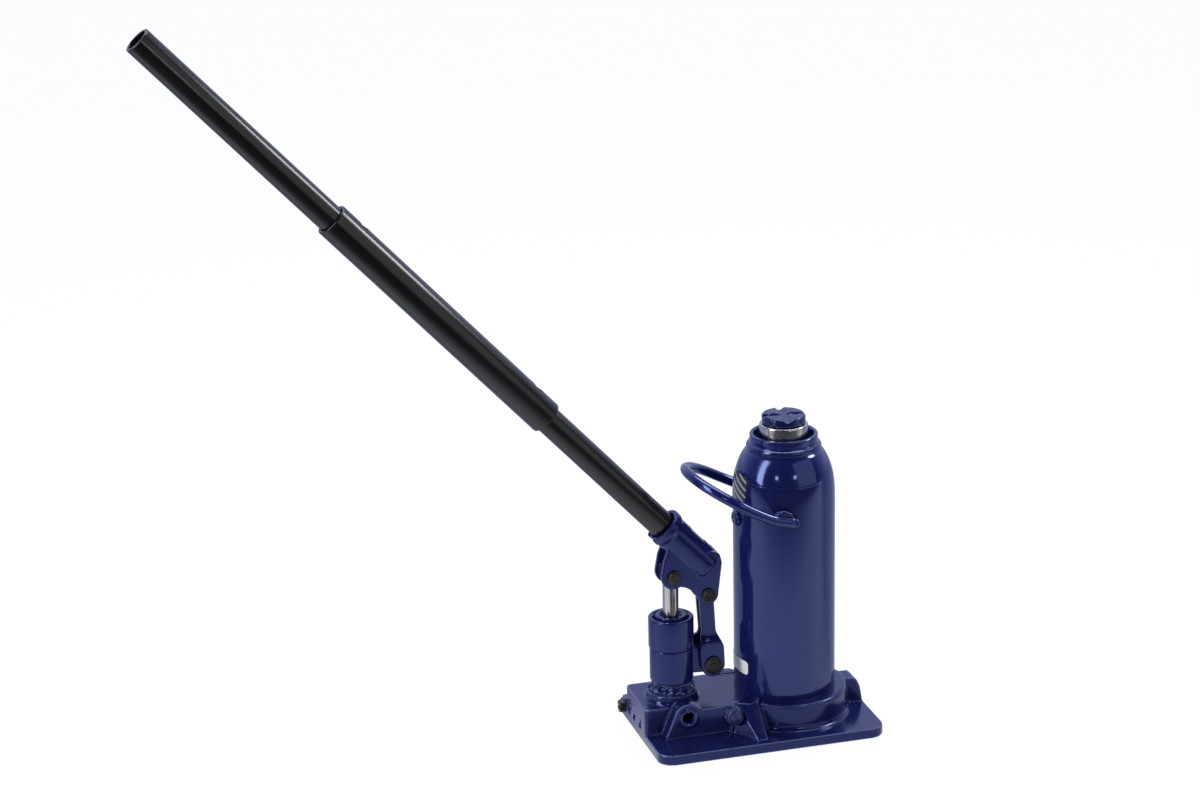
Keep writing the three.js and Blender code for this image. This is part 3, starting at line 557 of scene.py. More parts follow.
def base_solids():
    """The casting before its edges melt and its bores are cut."""
    left, right = base_low.x, base_high.x
    half = base_high.y
    shape = Shape()
    corners = [(left, -half, 12), (right, -half, 12), (right, half, 12), (left, half, 12)]
    shape.prism(fillet(corners), 0, PLATE_TOP, "xy")
    block = [(left, BLOCK_FRONT, 3), (BLOCK_END, BLOCK_FRONT), (BLOCK_END, BLOCK_REAR),
             (left, BLOCK_REAR, 4)]
    shape.prism(fillet(block), 0.5, BLOCK_TOP, "xy")
    # side wall with the arch over the side port
    foot = PORT_X - 19
    reach = math.hypot(PORT_X - foot, PORT_Z - PLATE_TOP)
    rise = math.degrees(math.atan2(PORT_Z - PLATE_TOP, PORT_X - foot)
                        + math.asin(PORT_RIM / reach))
    shoulder = math.degrees(math.asin((BLOCK_TOP - PORT_Z) / PORT_RIM))
    wall = [(foot - 1, 4), (foot, PLATE_TOP)]
    wall += arc(PORT_X, PORT_Z, PORT_RIM, rise + 90, shoulder, 24)
    wall += [(BLOCK_END - 6, BLOCK_TOP), (BLOCK_END - 6, 4)]
    shape.prism(wall, WALL_FRONT, 0, "xz")
    for side in (-1, 1):
        foot_points = [(-57, 28), (-57, 33), (-40, 57), (-33, 57), (-27, 38), (-27, 28)]
        crest = [(-50, 28), (-50, 33), (-42, 37), (-34, 36), (-30, 28)]
        points = [(x, side * y, z) for z in (4, PLATE_TOP) for x, y in foot_points]
        points += [(x, side * y, 31.5) for x, y in crest]
        shape.hull(points)
    collar = [(0, 1), (53.2, 1), (53.2, 8), (50.6, 9.4), (49.5, 12), (49.5, 28), (48.7, 29.4),
              (47, 30), (0, 30)]
    shape.revolve(collar, 144)
    rib = [(40, 4), (40, 29.5), (55.5, 29.5), (58.5, 26.4), (60.9, 21), (62.2, 14), (63, 8),
           (63, 4)]
    shape.prism(rib, -9.5, 7.5, "xz")
    shape.revolve([(0, 8), (21.5, 8), (21.5, 30.5), (20.4, 33), (20, 36.4), (19, PUMP_BOSS),
                   (0, PUMP_BOSS)], 96, at=(pump_x, 0, 0))
    shape.revolve([(5.4, -30), (5.4, WALL_FRONT - 0.9), (7.2, WALL_FRONT - 0.9), (7.2, -30)], 48,
                  at=(PORT_X, 0, PORT_Z), axis="y")
    shape.rod(9, left, -78, at=(0, RELEASE_Y, RELEASE_Z), axis="x")
    shape.rod(8, -36, -24, at=(OVERLOAD_X, 0, OVERLOAD_Z), axis="y")
    shape.prism([(OVERLOAD_X - 3.5, 4), (OVERLOAD_X + 3.5, 4), (OVERLOAD_X + 3, 18),
                 (OVERLOAD_X - 3, 18)], -36, -30, "xz")
    return shape


def base_bores():
    """Cutters for the tank's seat, the pump, the side port, the valves and the passages."""
    left = base_low.x
    bores = [
        Shape().rod(tank_radius + 0.3, 22, 40, 144),
        Shape().rod(27.3, 16, 23, 96),
        Shape().rod(13.8, 16, 60, 96, at=(pump_x, 0, 0)),
        Shape().revolve([(0, WALL_FRONT - 3), (5.2, WALL_FRONT - 3), (5.2, WALL_FRONT + 0.6),
                         (4.2, WALL_FRONT + 1.6), (4.2, -17), (0, -15)], 48,
                        at=(PORT_X, 0, PORT_Z), axis="y"),
        Shape().rod(4.5, -50, -14, 32, at=(OVERLOAD_X, 0, OVERLOAD_Z), axis="y"),
        Shape().rod(7.7, -60, -35.9, 48, at=(OVERLOAD_X, 0, OVERLOAD_Z), axis="y"),
        Shape().rod(5.2, left - 2, -92, 48, at=(0, RELEASE_Y, RELEASE_Z), axis="x"),
    ]
    passage = [(0, left - 2), (5.3, left - 2), (5.3, left), (4.8, left + 0.6), (4.8, left + 12),
               (0, left + 12)]
    for y in PASSAGES:
        bores.append(Shape().revolve(passage, 40, at=(0, y, PASSAGE_Z), axis="x"))
    bores.append(Shape().rod(3.5, 9, 17, 24))
    bores.append(Shape().rod(3.4, 9, 17, 24, at=(pump_x, 2.8, 0)))
    return bores


base = base_solids().object("base_body")
melt(base, 0.8, 4)
carve(base, *base_bores())
piece(base, "base", BLUE_CAST_PAINTED_LIGHT, ["base_casting"], 40)


def passage_plug(name, y, node, material, sunk):
    """A round plug in the casting's end face, with a hexagonal dimple."""
    low, high = box_mm(node)
    profile = fillet([(0, low.x), (4.5, low.x, 1), (4.5, high.x, 0.4), (0, high.x)], closed=False)
    dimple = [(0, low.x - 1), (2.6, low.x - 1), (2.2, low.x + sunk), (0, low.x + sunk)]
    plug = Shape().revolve(profile, 40, at=(0, y, PASSAGE_Z), axis="x").object(name)
    carve(plug, Shape().revolve(dimple, 6, at=(0, y, PASSAGE_Z), axis="x"))
    piece(plug, "base", material, [node])


passage_plug("front_end_plug", PASSAGES[0], "delivery_passage_plug", BLUE_CAST_PAINTED_LIGHT, 2.4)
passage_plug("middle_end_plug", PASSAGES[1], "suction_passage_plug", OXIDE_SUNK, 3.2)
passage_plug("rear_end_plug", PASSAGES[2], "bypass_passage_plug", BLUE_CAST_PAINTED_LIGHT, 2.4)


def lumpy(seed, size, depth):
    """A wave for Shape.revolve that shifts a point along its radius by smooth noise."""
    def wave(angle, r, h):
        spot = Vector((math.cos(angle) * r, math.sin(angle) * r, h)) / size
        return r + depth * noise.noise(spot + Vector((seed, 0, 0))), h
    return wave


overload_profile = fillet([(0, -41.2), (4.5, -40.6, 3), (7.0, -38.4, 2), (7.0, -36.4, 0.4),
                           (4.2, -36.4), (4.2, -30), (0, -30)], closed=False)
overload = Shape().revolve(overload_profile, 48, at=(OVERLOAD_X, 0, OVERLOAD_Z), axis="y",
                           wave=lumpy(4, 6, 0.35)).object("overload_plug_head")
piece(overload, "base", BLUE_CAST_PAINTED_LIGHT, ["overload_valve_plug"], 45)

# ------------------------------------------------------------------ release valve

release_low, release_high = box_mm("release_valve_screw")
head_edge = release_low.x
release_profile = fillet([
    (0, head_edge), (5, head_edge, 0.8), (5, head_edge + 6, 0.3), (4.4, head_edge + 6.6, 0.2),
    (4.4, -118.5, 0.2), (5, -118, 0.2), (5, -108, 0.2), (3.4, -108, 0.2), (3.4, -104.6, 0.2),
    (5, -104.6, 0.2), (5, -100, 0.4), (2, release_high.x, 0.3), (0, release_high.x),
], closed=False)
release = Shape().revolve(release_profile, 48, at=(0, RELEASE_Y, RELEASE_Z), axis="x")
release = release.object("release_screw")
slot_cut = Shape().box(head_edge - 1, head_edge + 2.4, RELEASE_Y - 8, RELEASE_Y + 8,
                       RELEASE_Z - 0.9, RELEASE_Z + 0.9)
carve(release, slot_cut)
piece(release, "release_valve", OXIDE, ["release_valve_screw"])

# ------------------------------------------------------------------ reservoir, top nut, ram

tank_low = box_mm("reservoir_tube")[0].z
TANK_SEAM = 206.95  # the paint all but fills the seam between the tank and its top nut
SHOULDER = smooth_path([
    (tank_radius, 184), (39.85, 194), (39.45, 200.5), (38.7, 206), (37.5, 211.3), (35.8, 216.5),
    (33.5, 221.6), (30.8, 226), (28.9, 227.9),
], 5)


def wall_radius(z):
    """The outer radius of the tank and its top nut at a height."""
    for (low_r, low), (high_r, high) in zip(SHOULDER, SHOULDER[1:]):
        if low <= z <= high:
            return low_r + (high_r - low_r) * (z - low) / (high - low)
    return tank_radius


seam_corner = (wall_radius(TANK_SEAM), TANK_SEAM, 0.22)
tank = Shape().revolve(fillet([
    (37, tank_low, 0.3), (tank_radius, tank_low, 0.3),
    *[(r, z) for r, z in SHOULDER if z < TANK_SEAM - 0.4], seam_corner, (37, TANK_SEAM),
]), 160).object("reservoir_wall")
FILLER_ANGLE, FILLER_Z = 186, middle_of("filler_plug").z
along_filler = (Matrix.Rotation(math.radians(FILLER_ANGLE), 4, "Z")
                @ Matrix.Translation((0, 0, FILLER_Z)) @ Matrix.Rotation(math.pi / 2, 4, "Y"))
carve(tank, Shape().rod(4.2, 30, 50, 32, matrix=along_filler))
piece(tank, "base", BLUE, ["reservoir_tube"])

nut_profile = fillet([
    (33, 196, 0.3), (36.7, 196, 0.4), (36.7, 198.8, 0.2), (35.2, 198.8, 0.1), (35.2, 201.8, 0.1),
    (36.7, 201.8, 0.2), (36.7, TANK_SEAM), seam_corner,
    *[(r, z) for r, z in SHOULDER if z > TANK_SEAM + 0.4],
    (29.3, 228.6, 0.5), (29.3, 231.0, 0.8), (28.4, 232.4, 0.6), (26.2, 233.5, 0.5),
    (26.6, 234.6, 0.4), (26.6, 239.3, 0.5), (26.0, 240, 0.4), (23.9, 240, 0.4), (23.3, 238.6, 0.4),
    (23.3, 226, 0.3), (ram_radius + 0.1, 226, 0.3), (ram_radius + 0.1, 204), (22.7, 204),
    (22.7, 213), (27.3, 213), (27.3, 204), (33, 204),
])
nut = Shape().revolve(nut_profile, 160).object("tank_dome")
piece(nut, "base", BLUE, ["tank_nut"], 38)

wiper_low, wiper_high = box_mm("ram_wiper")
ram_wiper = Shape().revolve(fillet([
    (ram_radius + 0.3, wiper_low.z, 0.2), (23, wiper_low.z, 0.4), (23, 230.5, 0.6),
    (20.8, 230.5, 0.5), (ram_radius + 0.35, wiper_high.z, 0.2),
]), 128).object("ram_dust_lip")
piece(ram_wiper, "base", RUBBER, ["ram_wiper"])

ram_low, ram_high = box_mm("ram")
ram = Shape().revolve(fillet([
    (0, ram_low.z), (13, ram_low.z, 0.5), (13, 44, 0.2), (ram_radius, 44, 0.5),
    (ram_radius, ram_high.z, 1.4), (13.7, ram_high.z, 0.6), (12.9, ram_high.z - 1, 0.2),
    (12.9, 66, 0.3), (0, 66),
], closed=False), 128).object("ram_shaft")
piece(ram, "ram", STEEL, ["ram"])

# ------------------------------------------------------------------ extension screw and saddle


def thread(radius, depth, low, high, pitch, sides=72, step=0.5):
    """A screw with a helical ridge that fades out at both ends, which are closed."""
    rings = round((high - low) / step)
    verts, faces = [(0, 0, low)], []
    for i in range(rings + 1):
        z = low + (high - low) * i / rings
        lead = min(1, (z - low) / pitch, (high - z) / pitch)
        for k in range(sides):
            turn = k / sides
            phase = (z / pitch - turn) % 1
            groove = max(0.0, min(1.0, 3.2 * abs(phase - 0.5) - 0.3))
            size = radius - depth * groove * lead
            angle = 2 * math.pi * turn
            verts.append((size * math.cos(angle), size * math.sin(angle), z))
    for i in range(rings):
        for k in range(sides):
            a, b = 1 + i * sides, 1 + (i + 1) * sides
            n = (k + 1) % sides
            faces.append([a + k, a + n, b + n, b + k])
    verts.append((0, 0, high))
    top = 1 + rings * sides
    for k in range(sides):
        n = (k + 1) % sides
        faces.append([0, 1 + n, 1 + k])
        faces.append([len(verts) - 1, top + k, top + n])
    return Shape().add(verts, faces)


screw_low, screw_high = box_mm("extension_screw")
screw_shape = thread(12.3, 1.0, 74, 247.9, 3.0)
screw_shape.revolve([(0, screw_low.z), (11.3, screw_low.z), (12.3, screw_low.z + 1), (12.3, 70),
                     (10, 70), (10, 74.2), (0, 74.2)], 72)
screw_shape.revolve([(0, 247.5), (8, 247.5), (8, screw_high.z), (0, screw_high.z)], 48)
screw = screw_shape.object("extension_thread")
piece(screw, "screw", TURNED, ["extension_screw"], 28)

saddle_low, saddle_high = box_mm("saddle")
SADDLE_R = radius_of("saddle")
disc = Shape().revolve([(0, saddle_low.z + 0.2), (SADDLE_R - 0.6, saddle_low.z + 0.2),
                        (SADDLE_R, saddle_low.z + 0.8), (SADDLE_R, saddle_high.z - 1),
                        (SADDLE_R - 0.9, saddle_high.z - 0.1), (0, saddle_high.z)], 96)
saddle = disc.object("saddle_pad")
TRENCH = [(-4.2, 256.5), (-4.2, 255.5), (-1.0, 252.7), (1.0, 252.7), (4.2, 255.5), (4.2, 256.5)]
for turn in (-7, 83):
    spin = Matrix.Rotation(math.radians(turn), 4, "Z")
    carve(saddle, Shape().prism(TRENCH, -20, 20, "xz", spin))
melt(saddle, 0.35, 5)
ROUGH_FROM = 251  # the saddle's top is a rough casting above this height
for v in saddle.data.vertices:
    spot = v.co / MM
    if spot.z > ROUGH_FROM:
        v.co.z += 0.3 * MM * noise.noise(spot / 3.4) * min(1, (spot.z - ROUGH_FROM) / 2)
carve(saddle, Shape().rod(8.3, 240, 251.8, 48))
piece(saddle, "screw", BLUE_CAST_PAINTED_LIGHT, ["saddle"], 50)

# ------------------------------------------------------------------ pump

WIDE_PIN_HOLE, SLIM_PIN_HOLE, LOOSE_EYE = 4.1, 3.6, 5.4


def at_pump(profile, sides=112, wave=None):
    """A shape turned about the pump's axis."""
    return Shape().revolve(profile, sides, at=(pump_x, 0, 0), wave=wave)


pump = at_pump(fillet([
    (0, 16.3), (13.5, 16.3, 0.3), (13.5, 45.5, 0.8), (17.2, 46, 1.2), (17.2, 73.5, 0.8), (0, 73.5),
], closed=False)).object("pump_barrel")
lug_profile = [(-86, 51), (link_foot.x - 1, link_foot.z - 7.4)]
lug_profile += arc(link_foot.x, link_foot.z, 7.4, -90, 60, 16) + [(-76.5, 73), (-86, 73)]
lug = Shape().prism(lug_profile, -7.5, 7.5, "xz").object("pump_lug")
bevel(lug, 1.0)
carve(pump, lug, operation="UNION")
carve(pump, at_pump([(0, 10), (6.35, 10), (6.35, 62), (13.3, 62), (13.3, 80), (0, 80)]),
      pin_hole(WIDE_PIN_HOLE, link_foot))
piece(pump, "base", BLUE_THIN, ["pump_body"])


def weld_wave(angle, r, h):
    """Ripples of a hand-laid weld round the pump's foot."""
    beat = math.sin(angle * 13 + 2.2 * math.sin(angle * 3))
    spot = Vector((math.cos(angle) * 3.1, math.sin(angle) * 3.1, h / 3))
    size = 0.0 if r < 14 else 1.0
    swell = 0.3 * beat + 1.5 * noise.noise(spot) + 0.7 * noise.noise(spot * 2.3)
    return r + size * swell, h + size * (0.25 * beat + 0.9 * noise.noise(spot * 1.7))


foot_weld = at_pump(fillet([
    (13.7, 37.8), (18.7, 37.8, 0.4), (18.6, 39.6, 1), (16.4, 41.4, 1.5), (15.4, 43.4, 0.8),
    (13.7, 43.8),
]), 144, weld_wave).object("pump_foot_bead")
piece(foot_weld, "base", BLUE_CAST_PAINTED_LIGHT, ["pump_foot_weld"], 60)

gland_low, gland_high = box_mm("pump_gland_nut")
gland_radius = radius_of("pump_gland_nut")
gland = at_pump(fillet([
    (6.35, gland_low.z), (13, gland_low.z), (13, 73.8, 0.2), (gland_radius, 73.8, 0.7),
    (gland_radius, gland_high.z, 1.1), (15.2, gland_high.z, 0.6), (12.9, 95, 0.3), (12.9, 92.7),
    (6.35, 92.7),
])).object("pump_nut")
piece(gland, "base", BLUE_THIN, ["pump_gland_nut"])

rod_wiper = at_pump(fillet([
    (6.4, 93), (12.4, 93, 0.3), (12.4, 100, 1.0), (9.2, 100, 0.8), (7.4, 97.2, 0.5), (6.4, 96.6),
]), 96).object("pump_rod_ring")
piece(rod_wiper, "base", BLUE_THIN, ["pump_rod_wiper"])

piston = at_pump(fillet([
    (0, 41), (5, 41, 0.5), (5, 43.7, 0.3), (3.6, 43.7, 0.2), (3.6, 50, 0.2), (6.25, 50, 0.5),
    (6.25, 139.5, 2), (0, 139.8),
], closed=False), 64).object("pump_rod")
flats = Shape().prism([(-5.9, 141), (-5.9, 126), (-7, 124), (-7, 30), (7, 30), (7, 124), (5.9, 126),
                       (5.9, 141)], pump_x - 9, pump_x + 9, "yz")
carve(piston, flats, operation="INTERSECT")
carve(piston, pin_hole(WIDE_PIN_HOLE, piston_eye))
piece(piston, "pump_piston", STEEL, ["pump_piston"])

# ------------------------------------------------------------------ pins


def pivot_pin(name, node, body, shank):
    """A headed pin along Y with a dimpled, slightly crowned head."""
    low, high = box_mm(node)
    centre = middle_of(node)
    head = (high.x - low.x) / 2
    y0 = low.y
    profile = fillet([
        (0, y0 + 0.9), (head * 0.3, y0 + 0.8, 0.4), (head * 0.5, y0, 0.4),
        (head * 0.72, y0 + 0.5, 0.5), (head * 0.8, y0 + 1.3, 0.3), (head, y0 + 1.6, 0.5),
        (head, y0 + 3.4, 0.4), (shank, y0 + 3.4), (shank, high.y - 2.6, 0.2),
        (shank - 0.8, high.y - 2.6), (shank - 0.8, high.y - 1.2), (shank, high.y - 1.2, 0.2),
        (shank, high.y, 0.5), (0, high.y),
    ], closed=False)
    pin = Shape().revolve(profile, 48, at=(centre.x, 0, centre.z), axis="y",
                          wave=lumpy(centre.x, 5, 0.12)).object(name)
    piece(pin, body, OXIDE, [node])


pivot_pin("piston_pivot_pin", "piston_pin", "pump_piston", 4)
pivot_pin("link_head_pin", "link_upper_pin", "socket", 3.5)
pivot_pin("link_foot_pin", "link_lower_pin", "base", 4)

# ------------------------------------------------------------------ links

JOG_LOW, JOG_HIGH = 75, 81
LINK_LOW, LINK_HIGH, LINK_THICK = 8.2, 2.3, 3.9
FOOT_ROUND, BLADE, HEAD_ROUND = 9.8, 5.6, 8.2


def link_plate(name, node, side):
    """A forged link, drawn flat and then jogged sideways between two heights."""
    run = Vector((link_head.x - link_foot.x, link_head.z - link_foot.z))
    length, lean = run.length, math.atan2(run.x, run.y)
    flank = [(FOOT_ROUND, 2), (FOOT_ROUND, 14.5, 6), (BLADE, 26, 10), (BLADE, length - 7.6, 3)]
    other_flank = [(-corner[0], *corner[1:]) for corner in reversed(flank)]
    outline = arc(0, 0, FOOT_ROUND, 180 + 8, 360 - 8, 18)
    outline += fillet(flank, closed=False)[1:]
    outline += arc(0, length, HEAD_ROUND, -42, 222, 24)
    outline += fillet(other_flank, closed=False)[1:]
    upright = Matrix.Translation((link_foot.x, 0, link_foot.z)) @ Matrix.Rotation(lean, 4, "Y")
    plate = Shape().prism(outline, 0, LINK_THICK, "xz", upright).object(name)

    def jog(co):
        t = min(1, max(0, (co.z / MM - JOG_LOW) / (JOG_HIGH - JOG_LOW)))
        inner = LINK_LOW + (LINK_HIGH - LINK_LOW) * t * t * (3 - 2 * t)
        return Vector((co.x, side * (co.y + inner * MM), co.z))

    heights = [JOG_LOW + (JOG_HIGH - JOG_LOW) * k / 10 for k in range(-1, 12)]
    reshape(plate, [((0, 0, z * MM), (0, 0, 1)) for z in heights], jog)
    bevel(plate, 0.8, 50)
    carve(plate, pin_hole(LOOSE_EYE, link_head, 48), pin_hole(WIDE_PIN_HOLE, link_foot, 48))
    piece(plate, "link", BLUE_PLATE, [node], 38)


link_plate("front_link_plate", "link_front", -1)
link_plate("rear_link_plate", "link_rear", 1)

# ------------------------------------------------------------------ handle socket

# local X is the handle's upper side, Y is across it and Z is along it
along_handle = Matrix.Translation(SOCKET_MOUTH) @ Matrix((
    (handle_above.x, 0, handle_axis.x, 0),
    (0, 1, 0, 0),
    (handle_above.z, 0, handle_axis.z, 0),
    (0, 0, 0, 1),
))
CHEEK_IN, CHEEK_OUT = 6.6, 10.6


def cheek_outline():
    """The side view of the socket's two cheeks, round the piston's eye and the links' heads."""
    a, b = piston_eye, link_head
    points = [(-97, 160), (a.x - 7.6, a.z + 14)]
    points += arc(a.x, a.z, 10, 172, 300, 20)
    start, end = Vector(points[-1]), Vector(arc(b.x, b.z, 8.5, 200, 200, 1)[0])
    mid = Vector((-79.5, 124.5))
    for k in range(1, 10):
        t = k / 10
        points.append(tuple(start * (1 - t) ** 2 + mid * 2 * t * (1 - t) + end * t ** 2))
    points += arc(b.x, b.z, 8.5, 200, 360, 20)
    back = [(b.x + 8.5, b.z), (-54.4, 142, 4), (-56.2, 149.6, 4), (-80, 158)]
    points += fillet(back, closed=False)[1:]
    return points


socket_solid = Shape()
socket_solid.revolve(fillet([
    (0, -52), (14, -52, 3), (13.9, -8.5, 3), (15.3, -5.6, 2), (15.4, 0, 0.8), (0, 0),
], closed=False), 96, matrix=along_handle)
socket_solid.prism(cheek_outline(), -CHEEK_OUT, CHEEK_OUT, "xz")
socket = socket_solid.object("handle_fork")
melt(socket, 0.6, 5)
gap = Shape().prism(fillet([(-130, 80), (-40, 80), (-40, 128.5), (-65, 128.5, 4), (-65, 170),
                            (-130, 170)]), -CHEEK_IN, CHEEK_IN, "xz").object("gap")
carve(gap, Shape().rod(13.4, -52, -1, 64, matrix=along_handle))
handle_bore = fillet([(0, -48), (10.95, -48), (10.95, -3, 2), (12.4, 0.2), (12.4, 2), (0, 2)],
                     closed=False)
carve(socket, gap, Shape().revolve(handle_bore, 96, matrix=along_handle),
      pin_hole(WIDE_PIN_HOLE, piston_eye), pin_hole(SLIM_PIN_HOLE, link_head))
piece(socket, "socket", BLUE_THIN, ["handle_socket"], 42)

# ------------------------------------------------------------------ handle

TUBE_OUT, TUBE_IN, SLEEVE_OUT, SLEEVE_IN = 10.65, 8.25, 13.3, 10.95
SLEEVE_START, SLEEVE_END, OVERLAP, HANDLE_END = 133.4, 365.5, 62, 560.5
HOLES = (SLEEVE_START + 22, SLEEVE_END - 22)
ACROSS = Matrix.Rotation(math.pi / 2, 4, "Y")


def handle_tube(name, node, body, inner, outer, start, end, holes, hole):
    """A tube between two stations along the handle, with holes of a radius on its upper side."""
    tube = Shape().revolve(fillet([
        (inner, start, 0.5), (outer, start, 0.9), (outer, end, 0.9), (inner, end, 0.5),
    ]), 96, matrix=along_handle).object(name)
    for station in holes:
        drill = along_handle @ Matrix.Translation((0, 0, station)) @ ACROSS
        carve(tube, Shape().rod(hole, 5, 20, 40, matrix=drill))
    piece(tube, body, BLACK, [node])


handle_tube("handle_tube_low", "handle_lower_tube", "handle_lower", TUBE_IN, TUBE_OUT, -47.5,
            SLEEVE_START + OVERLAP, HOLES[:1], 3.5)
handle_tube("handle_joining_sleeve", "handle_sleeve", "handle_sleeve", SLEEVE_IN, SLEEVE_OUT,
            SLEEVE_START, SLEEVE_END, HOLES, 4.6)
handle_tube("handle_tube_high", "handle_upper_tube", "handle_upper", TUBE_IN, TUBE_OUT,
            SLEEVE_END - OVERLAP, HANDLE_END, HOLES[1:], 3.5)

BUTTON = fillet([(0, 5), (3.2, 5, 0.3), (3.2, 9.8, 1.4), (0, 10.6)], closed=False)
for name, node, body, station in (
    ("spring_button_low", "handle_lower_button", "lower_button", HOLES[0]),
    ("spring_button_high", "handle_upper_button", "upper_button", HOLES[1]),
):
    lay = along_handle @ Matrix.Translation((0, 0, station)) @ ACROSS
    button = Shape().revolve(BUTTON, 40, matrix=lay).object(name)
    piece(button, body, OXIDE, [node])

# ------------------------------------------------------------------ carry handle and its welds

ROD_RADIUS, LEG_Y, LEG_TIP, LEG_BEND, LOOP_REACH, LEG_TIP_Z = 4, 44.4, -5, -37, 41, 180.2


def rod_height(x):
    """The height of the carry handle's centre line, which climbs more steeply past the welds."""
    return LEG_TIP_Z + 0.28 * min(LEG_TIP - x, 22) + 0.56 * max(0, LEG_TIP - 22 - x)


def on_loop(step):
    """A point of the half loop that joins the two legs, from 0 to 8."""
    angle = math.pi * step / 8
    x = LEG_BEND - LOOP_REACH * math.sin(angle)
    return x, -LEG_Y * math.cos(angle), rod_height(x)


leg = [(x, -LEG_Y, rod_height(x)) for x in (LEG_TIP, -14, -24, LEG_BEND)]
rear_leg = [(x, -y, z) for x, y, z in reversed(leg)]
path = smooth_path([*leg, *[on_loop(step) for step in range(1, 8)], *rear_leg], 10)


def flattened(t):
    """The rod's legs are pressed a little flat where they are welded, and their ends are round."""
    from_tip = min(t, 1 - t)
    near = max(0, 1 - from_tip / 0.08)
    tip = math.sqrt(max(0.02, 1 - max(0, 1 - from_tip / 0.03) ** 2))
    return tip * (1 + 0.14 * near), tip * (1 - 0.10 * near)


bail = Shape().tube(path, ROD_RADIUS, 32, flattened).object("carry_rod")
piece(bail, "base", BLUE, ["carry_handle"], 50)


def half_circle(size):
    """The outline of a ball, from its lowest point to its highest."""
    turns = [math.radians(a) for a in range(-75, 76, 15)]
    return [(0, -size), *[(size * math.cos(a), size * math.sin(a)) for a in turns], (0, size)]


def weld_bead(name, node, side):
    """A short row of overlapping drops between the rod and the tank, and one round the rod's tip."""
    drops = Shape()
    for i in range(14):
        x = -20.5 + 1.3 * i
        swell = math.sin(math.pi * (i + 0.7) / 14.4)
        size = 2.0 + 1.1 * swell + 1.2 * noise.noise(Vector((i * 1.3, side, 0.5)))
        lift = 4.2 + 0.7 * swell - 1.0 * max(0, i - 9)
        lift += 1.1 * noise.noise(Vector((i * 0.9, side, 4.5)))
        spot = Matrix.Translation((x, side * (42.4 - 0.7 * (i % 2)), rod_height(x) + lift))
        drops.revolve(half_circle(size), 20, matrix=spot)
    crown = Matrix.Translation((LEG_TIP - 0.6, side * (LEG_Y - 0.5), rod_height(LEG_TIP) + 0.5))
    drops.revolve(half_circle(3.9), 24, matrix=crown)
    bead = drops.object(name)
    melt(bead, 0.35, 1)
    piece(bead, "base", BLUE_CAST_PAINTED_LIGHT, [node], 60)


weld_bead("front_leg_weld", "carry_handle_weld_front", -1)
weld_bead("rear_leg_weld", "carry_handle_weld_rear", 1)

# ------------------------------------------------------------------ filler plug and stickers

plug = Shape().revolve(fillet([
    (0, 35.5), (3.9, 35.5, 0.5), (3.9, 40.1), (6, 40.1, 0.3), (6, 42.4, 0.9), (3.4, 43.5, 0.8),
    (2.6, 42.6, 0.3), (0, 42.6),
], closed=False), 48, matrix=along_filler).object("filler_bung")
piece(plug, "filler_plug", BLUE, ["filler_plug"])


def sticker(name, node, start, end, z0, z1, corner, material):
    """A thin rounded patch that follows the tank's wall."""
    wide, tall = math.radians(end - start) * tank_radius, z1 - z0
    outline = fillet([(0, 0, corner), (wide, 0, corner), (wide, tall, corner), (0, tall, corner)])
    patch = Shape().prism(outline, 0, 0.25, "xy").object(name)

    def wrap(co):
        angle = math.radians(start) + co.x / MM / tank_radius
        z = z0 + co.y / MM
        out = wall_radius(z) + 0.12 + co.z / MM
        return Vector((out * math.cos(angle), out * math.sin(angle), z)) * MM

    cuts = [((wide * MM * k / 40, 0, 0), (1, 0, 0)) for k in range(1, 40)]
    cuts += [((0, tall * MM * k / 12, 0), (0, 1, 0)) for k in range(1, 12)]
    reshape(patch, cuts, wrap)
    piece(patch, "base", material, [node])


sticker("rating_sticker", "rating_label", 163, 203, 187.5, 211.5, 1.5, LABEL_DARK)
sticker("notice_sticker", "notice_label", 152, 206, 47, 58, 2.5, LABEL_WHITE)

# ------------------------------------------------------------------ floor, light and camera

# the camera's azimuth from the front, elevation and roll in degrees, and its distance in metres
AZIMUTH, ELEVATION, ROLL, DISTANCE = -15.45, 18.27, -1.244, 2.45
FOCAL_MM, SENSOR_MM = 94.94, 36
TARGET_RIGHT, TARGET_Z = -0.1421, 0.269
TURN = math.radians(AZIMUTH)
TOWARDS_CAMERA = (math.sin(TURN), -math.cos(TURN), 0)
STUDIO_PALE = (0.93, 0.93, 0.93, 1)


def towards_camera(look, start, end, stops):
    """Colours set out along the line that runs from behind the part to the camera's side."""
    facing = look.tree.nodes.new("ShaderNodeVectorMath")
    facing.operation = "DOT_PRODUCT"
    facing.inputs[1].default_value = TOWARDS_CAMERA
    look.link(look.place, facing.inputs[0])
    span = look.tree.nodes.new("ShaderNodeMapRange")
    span.inputs["From Min"].default_value, span.inputs["From Max"].default_value = start, end
    look.link(facing.outputs["Value"], span.inputs["Value"])
    return look.ramp(span.outputs["Result"], stops)


def seen_plain(look, light, socket):
    """The camera sees a plain pale studio, and reflections and bounced light meet shaped light."""
    ray = look.tree.nodes.new("ShaderNodeLightPath")
    look.link(look.mix(ray.outputs["Is Camera Ray"], light, STUDIO_PALE), socket)


